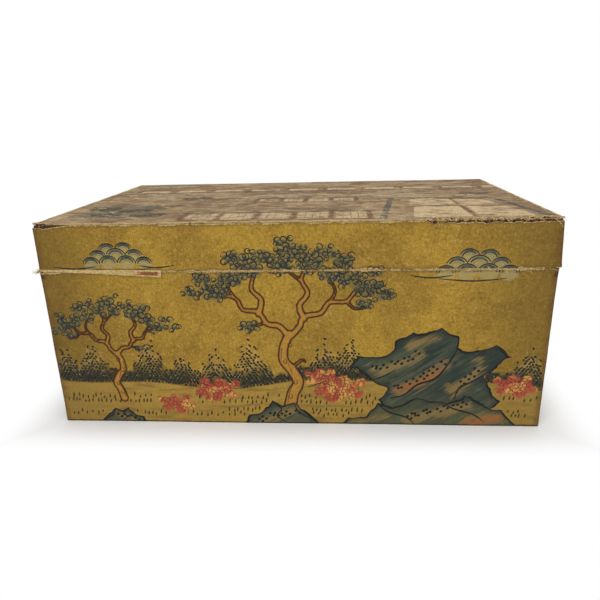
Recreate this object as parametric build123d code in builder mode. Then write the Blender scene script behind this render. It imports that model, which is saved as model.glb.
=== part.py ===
"""A painted leather chest for papers and keepsakes, with a lid that lifts off.

Thin softwood boards are rebated and pegged into a tray and a shallow lid, both are covered with
hide, and both are lined with paper. A lip of four strips stands up inside the tray, and the lid
drops over it, so that the painted hide of lid and tray lies in one face.

Millimetres. The origin is the middle of the underside, +Z is up, +X runs along the chest, and
the long painted side that is seen from the front faces -Y.
"""

import os

from build123d import *

# The whole chest, outside the hide, with the lid on
chest_length = 600.0
chest_depth = 376.0
chest_height = 258.0
lid_height = 57.0
corner_radius = 3.0

# Hide and lining paper
hide = 1.6
hide_wrap = 28.0
paper = 0.4

# Boards
tray_wall = 9.0
tray_plank = 9.0
lid_plank = 8.0
rebate_tongue = 4.0
plank_joint_offset = 22.0

# The lip that the lid drops over
lip_thickness = 4.0
lip_height = 40.0
lip_rise = 18.0
lip_lead_in = 1.5
lip_play = 1.0

# Bamboo pegs through the boards, and finer pins through the lip
peg_radius = 1.6
peg_length = 25.0
pin_radius = 1.0
pin_length = 9.5
peg_clearance = 0.05
tray_corner_peg_count = 4
tray_corner_peg_pitch = 42.0
lid_corner_peg_count = 2
lid_corner_peg_pitch = 12.0
lid_corner_peg_height = 16.0
long_wall_peg_count = 6
long_wall_peg_inset = 45.0
end_wall_peg_count = 3
end_wall_peg_inset = 62.0
plank_pin_count = 5
plank_pin_pitch = 118.0
long_lip_pin_count = 5
end_lip_pin_count = 3
lip_pin_inset = 50.0
lip_pin_depth = 10.0

# Worked out from the sizes above
carcass_length = chest_length - 2 * hide
carcass_depth = chest_depth - 2 * hide
carcass_radius = corner_radius - hide
rim = chest_height - lid_height
tray_floor = hide + tray_plank
lid_wall = tray_wall - lip_play - paper
lid_top = chest_height - hide
lid_ceiling = lid_top - lid_plank
tray_inner_length = carcass_length - 2 * tray_wall
tray_inner_depth = carcass_depth - 2 * tray_wall
lid_inner_length = carcass_length - 2 * lid_wall
lid_inner_depth = carcass_depth - 2 * lid_wall
lip_foot = rim + lip_rise - lip_height
tray_paper_height = lip_foot - tray_floor - paper
lid_paper_height = lid_ceiling - paper - rim

FRONT, BACK = -1, 1
LEFT, RIGHT = -1, 1
ON_FLOOR = (Align.CENTER, Align.CENTER, Align.MIN)

os.makedirs("parts", exist_ok=True)


def keep(piece, name):
    """Names a finished piece and writes it as one STEP file."""
    piece.part.label = name
    export_step(piece.part, f"parts/{name}.step")


def face_of_long_wall(side, height):
    """The plane on a long wall's outer face, at a height, looking into the chest."""
    return Plane(
        origin=(0, side * carcass_depth / 2, height),
        x_dir=(1, 0, 0),
        z_dir=(0, -side, 0),
    )


def pegs_through_corners(wall, height, pitch, count, radius, mode=Mode.ADD):
    """Pegs through the tongues of both long walls into the end grain of the end walls."""
    with Locations(face_of_long_wall(FRONT, height), face_of_long_wall(BACK, height)):
        with GridLocations(carcass_length - wall, pitch, 2, count):
            Cylinder(radius, peg_length, align=ON_FLOOR, mode=mode)


def pegs_through_planks(wall, plane, radius, mode=Mode.ADD):
    """Pegs through the planks into the edges of the four walls, from the plane's side."""
    long_pitch = (carcass_length - 2 * long_wall_peg_inset) / (long_wall_peg_count - 1)
    end_pitch = (carcass_depth - 2 * end_wall_peg_inset) / (end_wall_peg_count - 1)
    with Locations(plane):
        with GridLocations(long_pitch, carcass_depth - wall, long_wall_peg_count, 2):
            Cylinder(radius, peg_length, align=ON_FLOOR, mode=mode)
        with GridLocations(carcass_length - wall, end_pitch, 2, end_wall_peg_count):
            Cylinder(radius, peg_length, align=ON_FLOOR, mode=mode)


def pins_across_plank_joint(height, radius, mode=Mode.ADD):
    """Pins hidden in the glued joint between the two planks, half in each."""
    joint = Plane(
        origin=(0, plank_joint_offset, height), x_dir=(1, 0, 0), z_dir=(0, 1, 0)
    )
    with Locations(joint):
        with GridLocations(plank_pin_pitch, 1, plank_pin_count, 1):
            Cylinder(radius, peg_length, mode=mode)


def pins_through_lip(radius, mode=Mode.ADD):
    """Fine pins from inside the tray, through the lip strips, into the walls."""
    height = rim - lip_pin_depth
    inner_length = tray_inner_length - 2 * lip_thickness
    inner_depth = tray_inner_depth - 2 * lip_thickness
    long_pitch = (inner_length - 2 * lip_pin_inset) / (long_lip_pin_count - 1)
    end_pitch = (inner_depth - 2 * lip_pin_inset) / (end_lip_pin_count - 1)
    for side in (FRONT, BACK):
        face = Plane(
            origin=(0, side * inner_depth / 2, height),
            x_dir=(1, 0, 0),
            z_dir=(0, side, 0),
        )
        with Locations(face):
            with GridLocations(long_pitch, 1, long_lip_pin_count, 1):
                Cylinder(radius, pin_length, align=ON_FLOOR, mode=mode)
    for side in (LEFT, RIGHT):
        face = Plane(
            origin=(side * inner_length / 2, 0, height),
            x_dir=(0, 1, 0),
            z_dir=(side, 0, 0),
        )
        with Locations(face):
            with GridLocations(end_pitch, 1, end_lip_pin_count, 1):
                Cylinder(radius, pin_length, align=ON_FLOOR, mode=mode)


def long_wall(side, wall, bottom, top):
    """A front or back wall board. Rebates at both ends leave a tongue over the end wall."""
    with BuildSketch(Plane.XY.offset(bottom)) as outline:
        with Locations((0, side * (carcass_depth - wall) / 2)):
            Rectangle(carcass_length, wall)
        outer_corners = outline.vertices().group_by(Axis.Y)[0 if side == FRONT else -1]
        fillet(outer_corners, carcass_radius)
        rebate_middle = carcass_depth / 2 - (rebate_tongue + wall) / 2
        with Locations((0, side * rebate_middle)):
            with GridLocations(carcass_length - wall, 1, 2, 1):
                Rectangle(wall, wall - rebate_tongue, mode=Mode.SUBTRACT)
    extrude(outline.sketch, amount=top - bottom)


def end_wall(side, wall, bottom, top):
    """A left or right wall board, cut to sit in the rebates of the long walls."""
    with BuildSketch(Plane.XY.offset(bottom)) as outline:
        with Locations((side * (carcass_length - wall) / 2, 0)):
            Rectangle(wall, carcass_depth - 2 * rebate_tongue)
    extrude(outline.sketch, amount=top - bottom)


def plank(side, bottom, thickness):
    """The front or back plank of the tray's bottom or the lid's top."""
    with BuildSketch(Plane.XY.offset(bottom)) as outline:
        RectangleRounded(carcass_length, carcass_depth, carcass_radius)
        width = carcass_depth / 2 - side * plank_joint_offset
        with Locations((0, plank_joint_offset + side * width / 2)):
            Rectangle(carcass_length, width, mode=Mode.INTERSECT)
    extrude(outline.sketch, amount=thickness)


def wall_hide(window_x, window_y, window_length, window_depth, bottom, top):
    """The part of the hide round the walls that lies in a window of the plan."""
    with BuildSketch(Plane.XY.offset(bottom)) as outline:
        RectangleRounded(chest_length, chest_depth, corner_radius)
        RectangleRounded(carcass_length, carcass_depth, carcass_radius, mode=Mode.SUBTRACT)
        with Locations((window_x, window_y)):
            Rectangle(window_length, window_depth, mode=Mode.INTERSECT)
    extrude(outline.sketch, amount=top - bottom)


def long_hide(side, bottom, top):
    """The hide over a long side, wrapped round both corners onto the ends."""
    middle = side * (chest_depth - hide_wrap) / 2
    wall_hide(0, middle, chest_length, hide_wrap, bottom, top)


def end_hide(side, bottom, top):
    """The hide over an end, butted between the wraps of the two long sides."""
    middle = side * chest_length / 4
    wall_hide(middle, 0, chest_length / 2, chest_depth - 2 * hide_wrap, bottom, top)


def lip_strip(length, reach, toward):
    """One mitred strip of the lip. Its outer face lies on a wall, and the lid slides over it."""
    long_half = length / 2
    short_half = long_half - lip_thickness
    wall_face = Plane(
        origin=(toward.X * reach, toward.Y * reach, lip_foot),
        x_dir=(-toward.Y, toward.X, 0),
        z_dir=(0, 0, 1),
    )
    with BuildSketch(wall_face) as outline:
        with BuildLine():
            Polyline(
                (-long_half, 0),
                (long_half, 0),
                (short_half, lip_thickness),
                (-short_half, lip_thickness),
                close=True,
            )
        make_face()
    extrude(outline.sketch, amount=lip_height)


# The tray: two planks for its bottom and four walls on them
for name, side in (("tray_bottom_plank_front", FRONT), ("tray_bottom_plank_back", BACK)):
    with BuildPart() as bottom_plank:
        plank(side, hide, tray_plank)
        pegs_through_planks(
            tray_wall,
            Plane.XY.offset(hide),
            peg_radius + peg_clearance,
            mode=Mode.SUBTRACT,
        )
        pins_across_plank_joint(
            hide + tray_plank / 2, peg_radius + peg_clearance, mode=Mode.SUBTRACT
        )
    keep(bottom_plank, name)

tray_corner_peg_height = (tray_floor + rim) / 2


def drill_tray_wall():
    """Holes in a tray wall for the pegs from the corners, the planks and the lip."""
    pegs_through_corners(
        tray_wall,
        tray_corner_peg_height,
        tray_corner_peg_pitch,
        tray_corner_peg_count,
        peg_radius + peg_clearance,
        mode=Mode.SUBTRACT,
    )
    pegs_through_planks(
        tray_wall, Plane.XY.offset(hide), peg_radius + peg_clearance, mode=Mode.SUBTRACT
    )
    pins_through_lip(pin_radius + peg_clearance, mode=Mode.SUBTRACT)


for name, side in (("tray_front_board", FRONT), ("tray_back_board", BACK)):
    with BuildPart() as tray_long_board:
        long_wall(side, tray_wall, tray_floor, rim)
        drill_tray_wall()
    keep(tray_long_board, name)

for name, side in (("tray_left_board", LEFT), ("tray_right_board", RIGHT)):
    with BuildPart() as tray_end_board:
        end_wall(side, tray_wall, tray_floor, rim)
        drill_tray_wall()
    keep(tray_end_board, name)

with BuildPart() as tray_corner_peg_group:
    pegs_through_corners(
        tray_wall,
        tray_corner_peg_height,
        tray_corner_peg_pitch,
        tray_corner_peg_count,
        peg_radius,
    )
keep(tray_corner_peg_group, "tray_corner_pegs")

with BuildPart() as tray_bottom_peg_group:
    pegs_through_planks(tray_wall, Plane.XY.offset(hide), peg_radius)
keep(tray_bottom_peg_group, "tray_bottom_pegs")

with BuildPart() as tray_plank_pin_group:
    pins_across_plank_joint(hide + tray_plank / 2, peg_radius)
keep(tray_plank_pin_group, "tray_plank_pins")

# The lip inside the tray's rim
for name, toward, length, reach in (
    ("lip_strip_front", Vector(0, -1, 0), tray_inner_length, tray_inner_depth / 2),
    ("lip_strip_back", Vector(0, 1, 0), tray_inner_length, tray_inner_depth / 2),
    ("lip_strip_left", Vector(-1, 0, 0), tray_inner_depth, tray_inner_length / 2),
    ("lip_strip_right", Vector(1, 0, 0), tray_inner_depth, tray_inner_length / 2),
):
    with BuildPart() as strip:
        lip_strip(length, reach, toward)
        pins_through_lip(pin_radius + peg_clearance, mode=Mode.SUBTRACT)
        top_edges = strip.faces().sort_by(Axis.Z)[-1].edges()
        outermost = top_edges.sort_by(lambda edge: edge.center().dot(toward))[-1]
        chamfer(outermost, lip_lead_in)
    keep(strip, name)

with BuildPart() as lip_pin_group:
    pins_through_lip(pin_radius)
keep(lip_pin_group, "lip_pins")

# The tray's hide: long sides wrap the corners, the ends and the underside fill in
for name, side in (("tray_front_hide", FRONT), ("tray_back_hide", BACK)):
    with BuildPart() as tray_long_hide:
        long_hide(side, 0, rim)
    keep(tray_long_hide, name)

for name, side in (("tray_left_hide", LEFT), ("tray_right_hide", RIGHT)):
    with BuildPart() as tray_end_hide:
        end_hide(side, 0, rim)
    keep(tray_end_hide, name)

with BuildPart() as underside_hide:
    with BuildSketch(Plane.XY):
        RectangleRounded(carcass_length, carcass_depth, carcass_radius)
    extrude(amount=hide)
keep(underside_hide, "tray_underside_hide")


def lining_sheets(prefix, inner_length, inner_depth, bottom, height):
    """Four sheets of paper on the inside of the walls, the end sheets between the long ones."""
    for name, side in (("front", FRONT), ("back", BACK)):
        with BuildPart() as long_sheet:
            with BuildSketch(Plane.XY.offset(bottom)):
                with Locations((0, side * (inner_depth - paper) / 2)):
                    Rectangle(inner_length, paper)
            extrude(amount=height)
        keep(long_sheet, f"{prefix}_{name}_paper")
    for name, side in (("left", LEFT), ("right", RIGHT)):
        with BuildPart() as end_sheet:
            with BuildSketch(Plane.XY.offset(bottom)):
                with Locations((side * (inner_length - paper) / 2, 0)):
                    Rectangle(paper, inner_depth - 2 * paper)
            extrude(amount=height)
        keep(end_sheet, f"{prefix}_{name}_paper")


with BuildPart() as floor_paper:
    with BuildSketch(Plane.XY.offset(tray_floor)):
        Rectangle(tray_inner_length, tray_inner_depth)
    extrude(amount=paper)
keep(floor_paper, "tray_floor_paper")
lining_sheets(
    "tray", tray_inner_length, tray_inner_depth, tray_floor + paper, tray_paper_height
)

# The lid: four walls that stand on the tray's rim, with two planks over them
lid_peg_plane = Plane(origin=(0, 0, lid_top), x_dir=(1, 0, 0), z_dir=(0, 0, -1))
lid_corner_height = rim + lid_corner_peg_height

for name, side in (("lid_front_board", FRONT), ("lid_back_board", BACK)):
    with BuildPart() as lid_long_board:
        long_wall(side, lid_wall, rim, lid_ceiling)
        pegs_through_corners(
            lid_wall,
            lid_corner_height,
            lid_corner_peg_pitch,
            lid_corner_peg_count,
            peg_radius + peg_clearance,
            mode=Mode.SUBTRACT,
        )
        pegs_through_planks(
            lid_wall, lid_peg_plane, peg_radius + peg_clearance, mode=Mode.SUBTRACT
        )
    keep(lid_long_board, name)

for name, side in (("lid_left_board", LEFT), ("lid_right_board", RIGHT)):
    with BuildPart() as lid_end_board:
        end_wall(side, lid_wall, rim, lid_ceiling)
        pegs_through_corners(
            lid_wall,
            lid_corner_height,
            lid_corner_peg_pitch,
            lid_corner_peg_count,
            peg_radius + peg_clearance,
            mode=Mode.SUBTRACT,
        )
        pegs_through_planks(
            lid_wall, lid_peg_plane, peg_radius + peg_clearance, mode=Mode.SUBTRACT
        )
    keep(lid_end_board, name)

for name, side in (("lid_top_plank_front", FRONT), ("lid_top_plank_back", BACK)):
    with BuildPart() as top_plank:
        plank(side, lid_ceiling, lid_plank)
        pegs_through_planks(
            lid_wall, lid_peg_plane, peg_radius + peg_clearance, mode=Mode.SUBTRACT
        )
        pins_across_plank_joint(
            lid_ceiling + lid_plank / 2, peg_radius + peg_clearance, mode=Mode.SUBTRACT
        )
    keep(top_plank, name)

with BuildPart() as lid_corner_peg_group:
    pegs_through_corners(
        lid_wall, lid_corner_height, lid_corner_peg_pitch, lid_corner_peg_count, peg_radius
    )
keep(lid_corner_peg_group, "lid_corner_pegs")

with BuildPart() as lid_top_peg_group:
    pegs_through_planks(lid_wall, lid_peg_plane, peg_radius)
keep(lid_top_peg_group, "lid_top_pegs")

with BuildPart() as lid_plank_pin_group:
    pins_across_plank_joint(lid_ceiling + lid_plank / 2, peg_radius)
keep(lid_plank_pin_group, "lid_plank_pins")

# The lid's hide: the walls first, then one skin over the whole top
for name, side in (("lid_front_hide", FRONT), ("lid_back_hide", BACK)):
    with BuildPart() as lid_long_hide:
        long_hide(side, rim, lid_top)
    keep(lid_long_hide, name)

for name, side in (("lid_left_hide", LEFT), ("lid_right_hide", RIGHT)):
    with BuildPart() as lid_end_hide:
        end_hide(side, rim, lid_top)
    keep(lid_end_hide, name)

with BuildPart() as lid_top_hide:
    with BuildSketch(Plane.XY.offset(lid_top)):
        RectangleRounded(chest_length, chest_depth, corner_radius)
    extrude(amount=hide)
    fillet(lid_top_hide.faces().sort_by(Axis.Z)[-1].edges(), hide / 2)
keep(lid_top_hide, "lid_top_hide")

with BuildPart() as ceiling_paper:
    with BuildSketch(Plane.XY.offset(lid_ceiling - paper)):
        Rectangle(lid_inner_length, lid_inner_depth)
    extrude(amount=paper)
keep(ceiling_paper, "lid_ceiling_paper")
lining_sheets("lid", lid_inner_length, lid_inner_depth, rim, lid_paper_height)
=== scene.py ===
# %% [markdown]
# # A painted leather chest
#
# The chest is a tray and a lid of thin boards, covered in hide and painted on an ochre-gold
# ground. The construction is already there as a frame: every board, strip, peg and sheet of
# paper stands at its real size. This script gives it its looks. It cuts new hides as flat
# sheets, wraps them round the frame, paints them, frays their edges and lights the result.

# %% Load the frame
import math

import bmesh
import bpy
import numpy as np
from mathutils import Matrix, Vector
from mathutils import noise as field


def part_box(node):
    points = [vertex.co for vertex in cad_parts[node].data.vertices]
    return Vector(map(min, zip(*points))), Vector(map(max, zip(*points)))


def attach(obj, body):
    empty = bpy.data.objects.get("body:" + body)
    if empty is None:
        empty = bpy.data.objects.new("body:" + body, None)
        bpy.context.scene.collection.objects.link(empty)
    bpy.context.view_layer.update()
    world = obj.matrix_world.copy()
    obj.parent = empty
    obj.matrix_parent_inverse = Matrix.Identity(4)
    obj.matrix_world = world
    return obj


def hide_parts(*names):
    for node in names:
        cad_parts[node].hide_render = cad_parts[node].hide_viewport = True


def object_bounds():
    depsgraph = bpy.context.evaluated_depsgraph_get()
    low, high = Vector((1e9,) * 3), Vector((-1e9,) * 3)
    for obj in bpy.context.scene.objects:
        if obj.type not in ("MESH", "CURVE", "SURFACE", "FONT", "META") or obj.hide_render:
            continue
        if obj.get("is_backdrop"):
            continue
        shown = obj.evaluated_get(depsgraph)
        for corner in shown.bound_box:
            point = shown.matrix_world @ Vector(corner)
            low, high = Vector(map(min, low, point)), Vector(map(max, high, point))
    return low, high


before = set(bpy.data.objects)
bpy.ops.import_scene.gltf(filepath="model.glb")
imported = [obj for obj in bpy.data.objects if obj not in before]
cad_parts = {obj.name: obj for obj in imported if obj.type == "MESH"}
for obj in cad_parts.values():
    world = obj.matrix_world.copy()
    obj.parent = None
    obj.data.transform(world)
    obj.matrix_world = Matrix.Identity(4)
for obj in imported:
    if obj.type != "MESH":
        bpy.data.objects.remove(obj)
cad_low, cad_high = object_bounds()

print("nodes in the frame:", len(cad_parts))

# %% [markdown]
# ## Sizes
#
# A painter and a leather worker think in millimetres, so the drawing is done in millimetres
# and turned into Blender's metres at the last moment. The chest's sizes are read off the frame,
# and the radius at its corners is given.

# %% Read the sizes off the frame
MM = 0.001


def span(node):
    """The lowest and highest corner of a frame node, in millimetres."""
    low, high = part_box(node)
    return Vector(low) / MM, Vector(high) / MM


half_length = span("lid_top_hide")[1].x
half_depth = span("lid_top_hide")[1].y
chest_top = span("lid_top_hide")[1].z
wall_top = span("lid_top_hide")[0].z
seam = span("tray_front_hide")[1].z
wrap = span("tray_front_hide")[1].y + half_depth
hide = chest_top - wall_top
# A hide folds round an upright corner at this radius.
corner = 3.0
print(f"hides: {2 * half_length:.0f} x {2 * half_depth:.0f} x {chest_top:.0f} mm, seam at {seam:.0f}")

# %% [markdown]
# ## Camera
#
# The camera stands a little to the right of the middle, above the lid, and looks down and
# slightly to the left. Its axes are worked out from three small turns.

# %% Place the camera
camera_place = Vector((0.0552, -0.7908, 0.3690))
camera_yaw, camera_pitch, camera_roll = (math.radians(d) for d in (4.30, 18.65, 1.57))
picture_side_px = 600
focal_px = 545.0

level_right = Vector((math.cos(camera_yaw), math.sin(camera_yaw), 0))
level_ahead = Vector((-math.sin(camera_yaw), math.cos(camera_yaw), 0))
ahead = level_ahead * math.cos(camera_pitch) - Vector((0, 0, math.sin(camera_pitch)))
up = level_ahead * math.sin(camera_pitch) + Vector((0, 0, math.cos(camera_pitch)))
right_rolled = level_right * math.cos(camera_roll) - up * math.sin(camera_roll)
up_rolled = level_right * math.sin(camera_roll) + up * math.cos(camera_roll)

camera_data = bpy.data.cameras.new("camera")
camera_data.sensor_width = 36.0
camera_data.lens = focal_px * camera_data.sensor_width / picture_side_px
camera = bpy.data.objects.new("camera", camera_data)
axes = Matrix((right_rolled, up_rolled, -ahead)).transposed()
camera.matrix_world = Matrix.Translation(camera_place) @ axes.to_4x4()
bpy.context.scene.collection.objects.link(camera)
bpy.context.scene.camera = camera
print(f"lens {camera_data.lens:.1f} mm")

# %% [markdown]
# ## Shader sums as Python
#
# A finish is a sum of many small ideas: a mottled ground, grain, grime, a painted shape and
# the places where it has rubbed away. Written as nodes that is a long list of links. With a
# small class that wraps a socket, the same finish reads as ordinary Python.

# %% A socket that can be added and multiplied


class Socket:
    """One output in a finish's node tree."""

    def __init__(self, finish, output):
        self.finish = finish
        self.output = output

    def __add__(self, other):
        return self.finish.sum("ADD", self, other)

    def __sub__(self, other):
        return self.finish.sum("SUBTRACT", self, other)

    def __rsub__(self, other):
        return self.finish.sum("SUBTRACT", other, self)

    def __mul__(self, other):
        return self.finish.sum("MULTIPLY", self, other)

    def __abs__(self):
        return self.finish.sum("ABSOLUTE", self, 0.0)

    __radd__ = __add__
    __rmul__ = __mul__


def chart(red, green, blue):
    """A colour as a paint chart gives it, 0 to 255, turned into the linear light of a shader."""
    parts = []
    for part in (red, green, blue):
        share = part / 255
        parts.append(share / 12.92 if share <= 0.04045 else ((share + 0.055) / 1.055) ** 2.4)
    return (*parts, 1.0)


class Finish:
    """A material that is put together step by step."""

    def __init__(self, name):
        self.material = bpy.data.materials.new(name)
        self.material.use_nodes = True
        self.tree = self.material.node_tree
        self.tree.nodes.clear()
        self.place = self.node("ShaderNodeTexCoord", out="Object")
        scaled = {0: self.place, 1: (1 / MM,) * 3}
        self.place = self.node("ShaderNodeVectorMath", {"operation": "MULTIPLY"}, scaled)
        self.place_x, self.place_y, self.place_z = self.split(self.place)

    def node(self, kind, settings=None, sockets=None, out=0):
        """Adds a node. Its settings go first, then values or links for its sockets."""
        made = self.tree.nodes.new(kind)
        for setting, value in (settings or {}).items():
            setattr(made, setting, value)
        for name, value in (sockets or {}).items():
            if isinstance(value, Socket):
                self.tree.links.new(value.output, made.inputs[name])
            else:
                made.inputs[name].default_value = value
        return Socket(self, made.outputs[out]) if made.outputs else made

    def split(self, vector):
        """The three parts of a vector."""
        parts = self.node("ShaderNodeSeparateXYZ", {}, {0: vector}).output.node
        return [Socket(self, output) for output in parts.outputs]

    def sum(self, operation, first, second):
        return self.node("ShaderNodeMath", {"operation": operation}, {0: first, 1: second})

    def largest(self, first, second):
        return self.sum("MAXIMUM", first, second)

    def smallest(self, first, second):
        return self.sum("MINIMUM", first, second)

    def rise(self, value, low, high):
        """0 up to low, 1 from high, and an easy slope between. With low over high it falls."""
        limits = {"Value": value, "From Min": low, "From Max": high}
        if low > high:
            limits = {"Value": value, "From Min": high, "From Max": low, "To Min": 1.0, "To Max": 0.0}
        return self.node("ShaderNodeMapRange", {"interpolation_type": "SMOOTHSTEP"}, limits)

    def painted(self, name):
        """What a sheet's own attribute says at this point."""
        return self.node("ShaderNodeAttribute", {"attribute_name": name}, out="Fac")

    def mottle(self, size, detail=3.0, rough=0.55, stretch=(1, 1, 1), twist=0.0, turn=(0, 0, 0)):
        """Cloudy noise from 0 to 1, with clouds about size millimetres across, drawn out where
        stretch is under 1. The drawn-out way is turned last, so that streaks may slant."""
        sockets = {"Vector": self.place, "Scale": tuple(size / part for part in stretch), "Rotation": turn}
        spots = self.node("ShaderNodeMapping", {"vector_type": "TEXTURE"}, sockets)
        values = {"Vector": spots, "Scale": 1.0, "Detail": detail, "Roughness": rough, "Distortion": twist}
        return self.node("ShaderNodeTexNoise", {}, values)

    def blend(self, factor, first, second):
        """The second colour over the first. Sockets 6 and 7 take colours, and output 2 gives one."""
        sockets = {"Factor": factor, 6: first, 7: second}
        return self.node("ShaderNodeMix", {"data_type": "RGBA"}, sockets, out=2)

    def close(self, colour, rough, height, bump, depth, gloss):
        """Joins colour, roughness and relief into the shader, and ends the finish. The relief's
        depth is in metres."""
        relief = self.node("ShaderNodeBump", {}, {"Height": height, "Strength": bump, "Distance": depth})
        sockets = {"Base Color": colour, "Roughness": rough, "Normal": relief, "Specular IOR Level": gloss}
        surface = self.node("ShaderNodeBsdfPrincipled", {}, sockets)
        self.node("ShaderNodeOutputMaterial", {}, {"Surface": surface})
        print("finish", self.material.name, "has", len(self.tree.nodes), "nodes")
        return self.material


# %% [markdown]
# ## The sides of the chest
#
# The painting belongs to the four walls and the top, not to the single hides: a tree may
# start on the tray and end on the lid. So every side has its own flat drawing sheet. On a
# wall, `a` runs to the right from the middle, as a person facing that wall sees it, and `v`
# runs up from the floor. On the top, `v` runs from the middle to the back.

# %% Five drawing sheets
# The distance that stands for "nowhere near a painted shape".
far_outside = 60.0


class Side:
    """One side of the chest as a flat drawing sheet, in millimetres."""

    def __init__(self, name, right, up, normal, reach, half_width):
        self.name = name
        self.right = np.array(right, float)
        self.up = np.array(up, float)
        self.normal = np.array(normal, float)
        self.reach = reach
        self.half_width = half_width
        self.shapes = {}
        self.strokes = {}
        self.rim = lambda a: np.full(np.shape(a), np.inf)

    def shape(self, wash, measure):
        """Adds a painted shape, given as a measure of how far outside it a point lies."""
        self.shapes.setdefault(wash, []).append(measure)

    def stroke(self, paint, points, width):
        """Adds one brush stroke. The width is one number or one for each point. A stroke that
        would reach a folded corner or a torn edge is left out."""
        a, v = np.array(points, float).T
        if np.max(np.abs(a)) > self.half_width - corner or np.any(v > self.rim(a)):
            return
        widths = np.broadcast_to(np.asarray(width, float) / 2, (len(points),))
        self.strokes.setdefault(paint, []).append((np.array(points, float), widths))

    def depth(self, wash, a, v):
        """How far outside the nearest shape of a wash each point lies; negative is inside."""
        nearest = np.full(a.shape, far_outside)
        for measure in self.shapes.get(wash, []):
            nearest = np.minimum(nearest, measure(a, v))
        return nearest


def wall(name, right, normal, reach, half_width):
    return Side(name, right, (0, 0, 1), normal, reach, half_width)


front = wall("front", (1, 0, 0), (0, -1, 0), half_depth, half_length)
right = wall("right", (0, 1, 0), (1, 0, 0), half_length, half_depth)
back = wall("back", (-1, 0, 0), (0, 1, 0), half_depth, half_length)
left = wall("left", (0, -1, 0), (-1, 0, 0), half_length, half_depth)
top = Side("top", (1, 0, 0), (0, 1, 0), (0, 0, 1), chest_top, half_length)
walls = [front, right, back, left]

# %% [markdown]
# ## Measures for painted shapes
#
# The large washes are stored on the hide as distances: each point of the sheet knows how far
# it lies outside a painted shape. The finish then draws a crisp edge, a dark outline or a
# soft shade from that one number, however coarse the sheet's own grid is.

# %% Outlines, limbs and clumps


def rounded(points, steps=5):
    """A smooth line through given points."""
    known = np.array(points, float)
    last = len(known) - 1
    line = []
    for i in range(last):
        p0, p1, p2, p3 = (known[min(max(i + k, 0), last)] for k in (-1, 0, 1, 2))
        for step in range(steps):
            t = step / steps
            bend = (2 * p0 - 5 * p1 + 4 * p2 - p3) * t**2
            twist = (-p0 + 3 * p1 - 3 * p2 + p3) * t**3
            line.append(0.5 * (2 * p1 + (p2 - p0) * t + bend + twist))
    return np.array(line + [known[-1]])


def distance_to_line(line, a, v):
    """The distance to the nearest part of a line, and how far along the line that part is."""
    nearest = np.full(a.shape, np.inf)
    along = np.zeros(a.shape)
    for i in range(len(line) - 1):
        start, run = line[i], line[i + 1] - line[i]
        share = ((a - start[0]) * run[0] + (v - start[1]) * run[1]) / max(run @ run, 1e-9)
        share = np.clip(share, 0, 1)
        gap = np.hypot(a - start[0] - share * run[0], v - start[1] - share * run[1])
        closer = gap < nearest
        nearest = np.where(closer, gap, nearest)
        along = np.where(closer, (i + share) / (len(line) - 1), along)
    return nearest, along


def outline(points):
    """The measure of a closed shape with straight sides."""
    ring = np.array(points, float)
    ring = np.vstack([ring, ring[:1]])

    def measure(a, v):
        gap, _ = distance_to_line(ring, a, v)
        inside = np.zeros(a.shape, bool)
        for (a0, v0), (a1, v1) in zip(ring[:-1], ring[1:]):
            crosses = (v0 > v) != (v1 > v)
            slope = (a1 - a0) / (v1 - v0) if v1 != v0 else 0.0
            inside ^= crosses & (a < a0 + (v - v0) * slope)
        return np.where(inside, -gap, gap)

    return measure


def limb(points, thick, thin):
    """The measure of a trunk or a branch that tapers along its line."""
    line = rounded(points)

    def measure(a, v):
        gap, along = distance_to_line(line, a, v)
        return gap - (thick + (thin - thick) * along) / 2

    return measure


def clump(centre_a, centre_v, reach_a, reach_v):
    """The measure of an oval clump."""

    def measure(a, v):
        far = np.hypot((a - centre_a) / reach_a, (v - centre_v) / reach_v)
        return (far - 1) * min(reach_a, reach_v)

    return measure


# %% [markdown]
# ## Brush marks
#
# Leaves, scallops, grass and stipple are single touches of a brush, and thousands of them make
# the picture. Each is a short line with a width that swells and fades. Drawn as Blender
# curves with a bevel, they become thin ridges of paint that are pressed onto the hide. Paint
# went with the hide where it tore, so the tears come first, and no stroke crosses one.

# %% Where the hide has torn


def ripple(u, length, seed):
    """How deep an uneven edge bites into a sheet: waves, short nicks and fine ones, or nothing."""
    values = np.zeros(u.shape)
    for i, place in enumerate(u.flat):
        point = Vector((place / length, seed, 0.0))
        waves, nicks, fine_nicks = (field.noise(point * finer) for finer in (1.0, 4.3, 13.1))
        values.flat[i] = waves + 0.6 * nicks + 0.35 * fine_nicks
    return np.maximum(values, 0.0)


tear_start = 150.0
left_tear_start = -258.0


def torn_down(a):
    """How far the lid's front hide has torn down from its upper edge, in millimetres."""
    deep = 1.8 + 2.6 * ripple(a, 15, 9.0) + 1.8 * ripple(a, 5, 12.0)
    right_tear = np.clip((a - tear_start) / 10, 0, 1) * deep
    left_tear = np.clip((left_tear_start - a) / 26, 0, 1) * (2.6 + 1.5 * ripple(a, 9, 9.5))
    return 0.7 * ripple(a, 21, 8.0) + right_tear + left_tear


def torn_back(a):
    """How far the top skin has torn back from the front edge, in millimetres."""
    deep = 2.4 + 4.4 * ripple(a, 17, 5.0) + 2.4 * ripple(a, 6, 13.0)
    right_tear = np.clip((a - tear_start) / 12, 0, 1) * deep
    left_tear = np.clip((left_tear_start - a) / 30, 0, 1) * (3.0 + 2.0 * ripple(a, 10, 5.5))
    return 0.8 * ripple(a, 23, 2.0) + right_tear + left_tear


front.rim = lambda a: wall_top - 1.5 - torn_down(a)

# %% Touches of the brush
brush_seed = 7
chance = np.random.default_rng(brush_seed)
TURN = 2 * math.pi


def moved(points, a, v=0.0, size=1.0, flip=False):
    """A motif's points, made larger or smaller, turned round and put in its place."""
    sign = -1 if flip else 1
    return [(a + sign * size * point[0], v + size * point[1]) for point in points]


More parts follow.
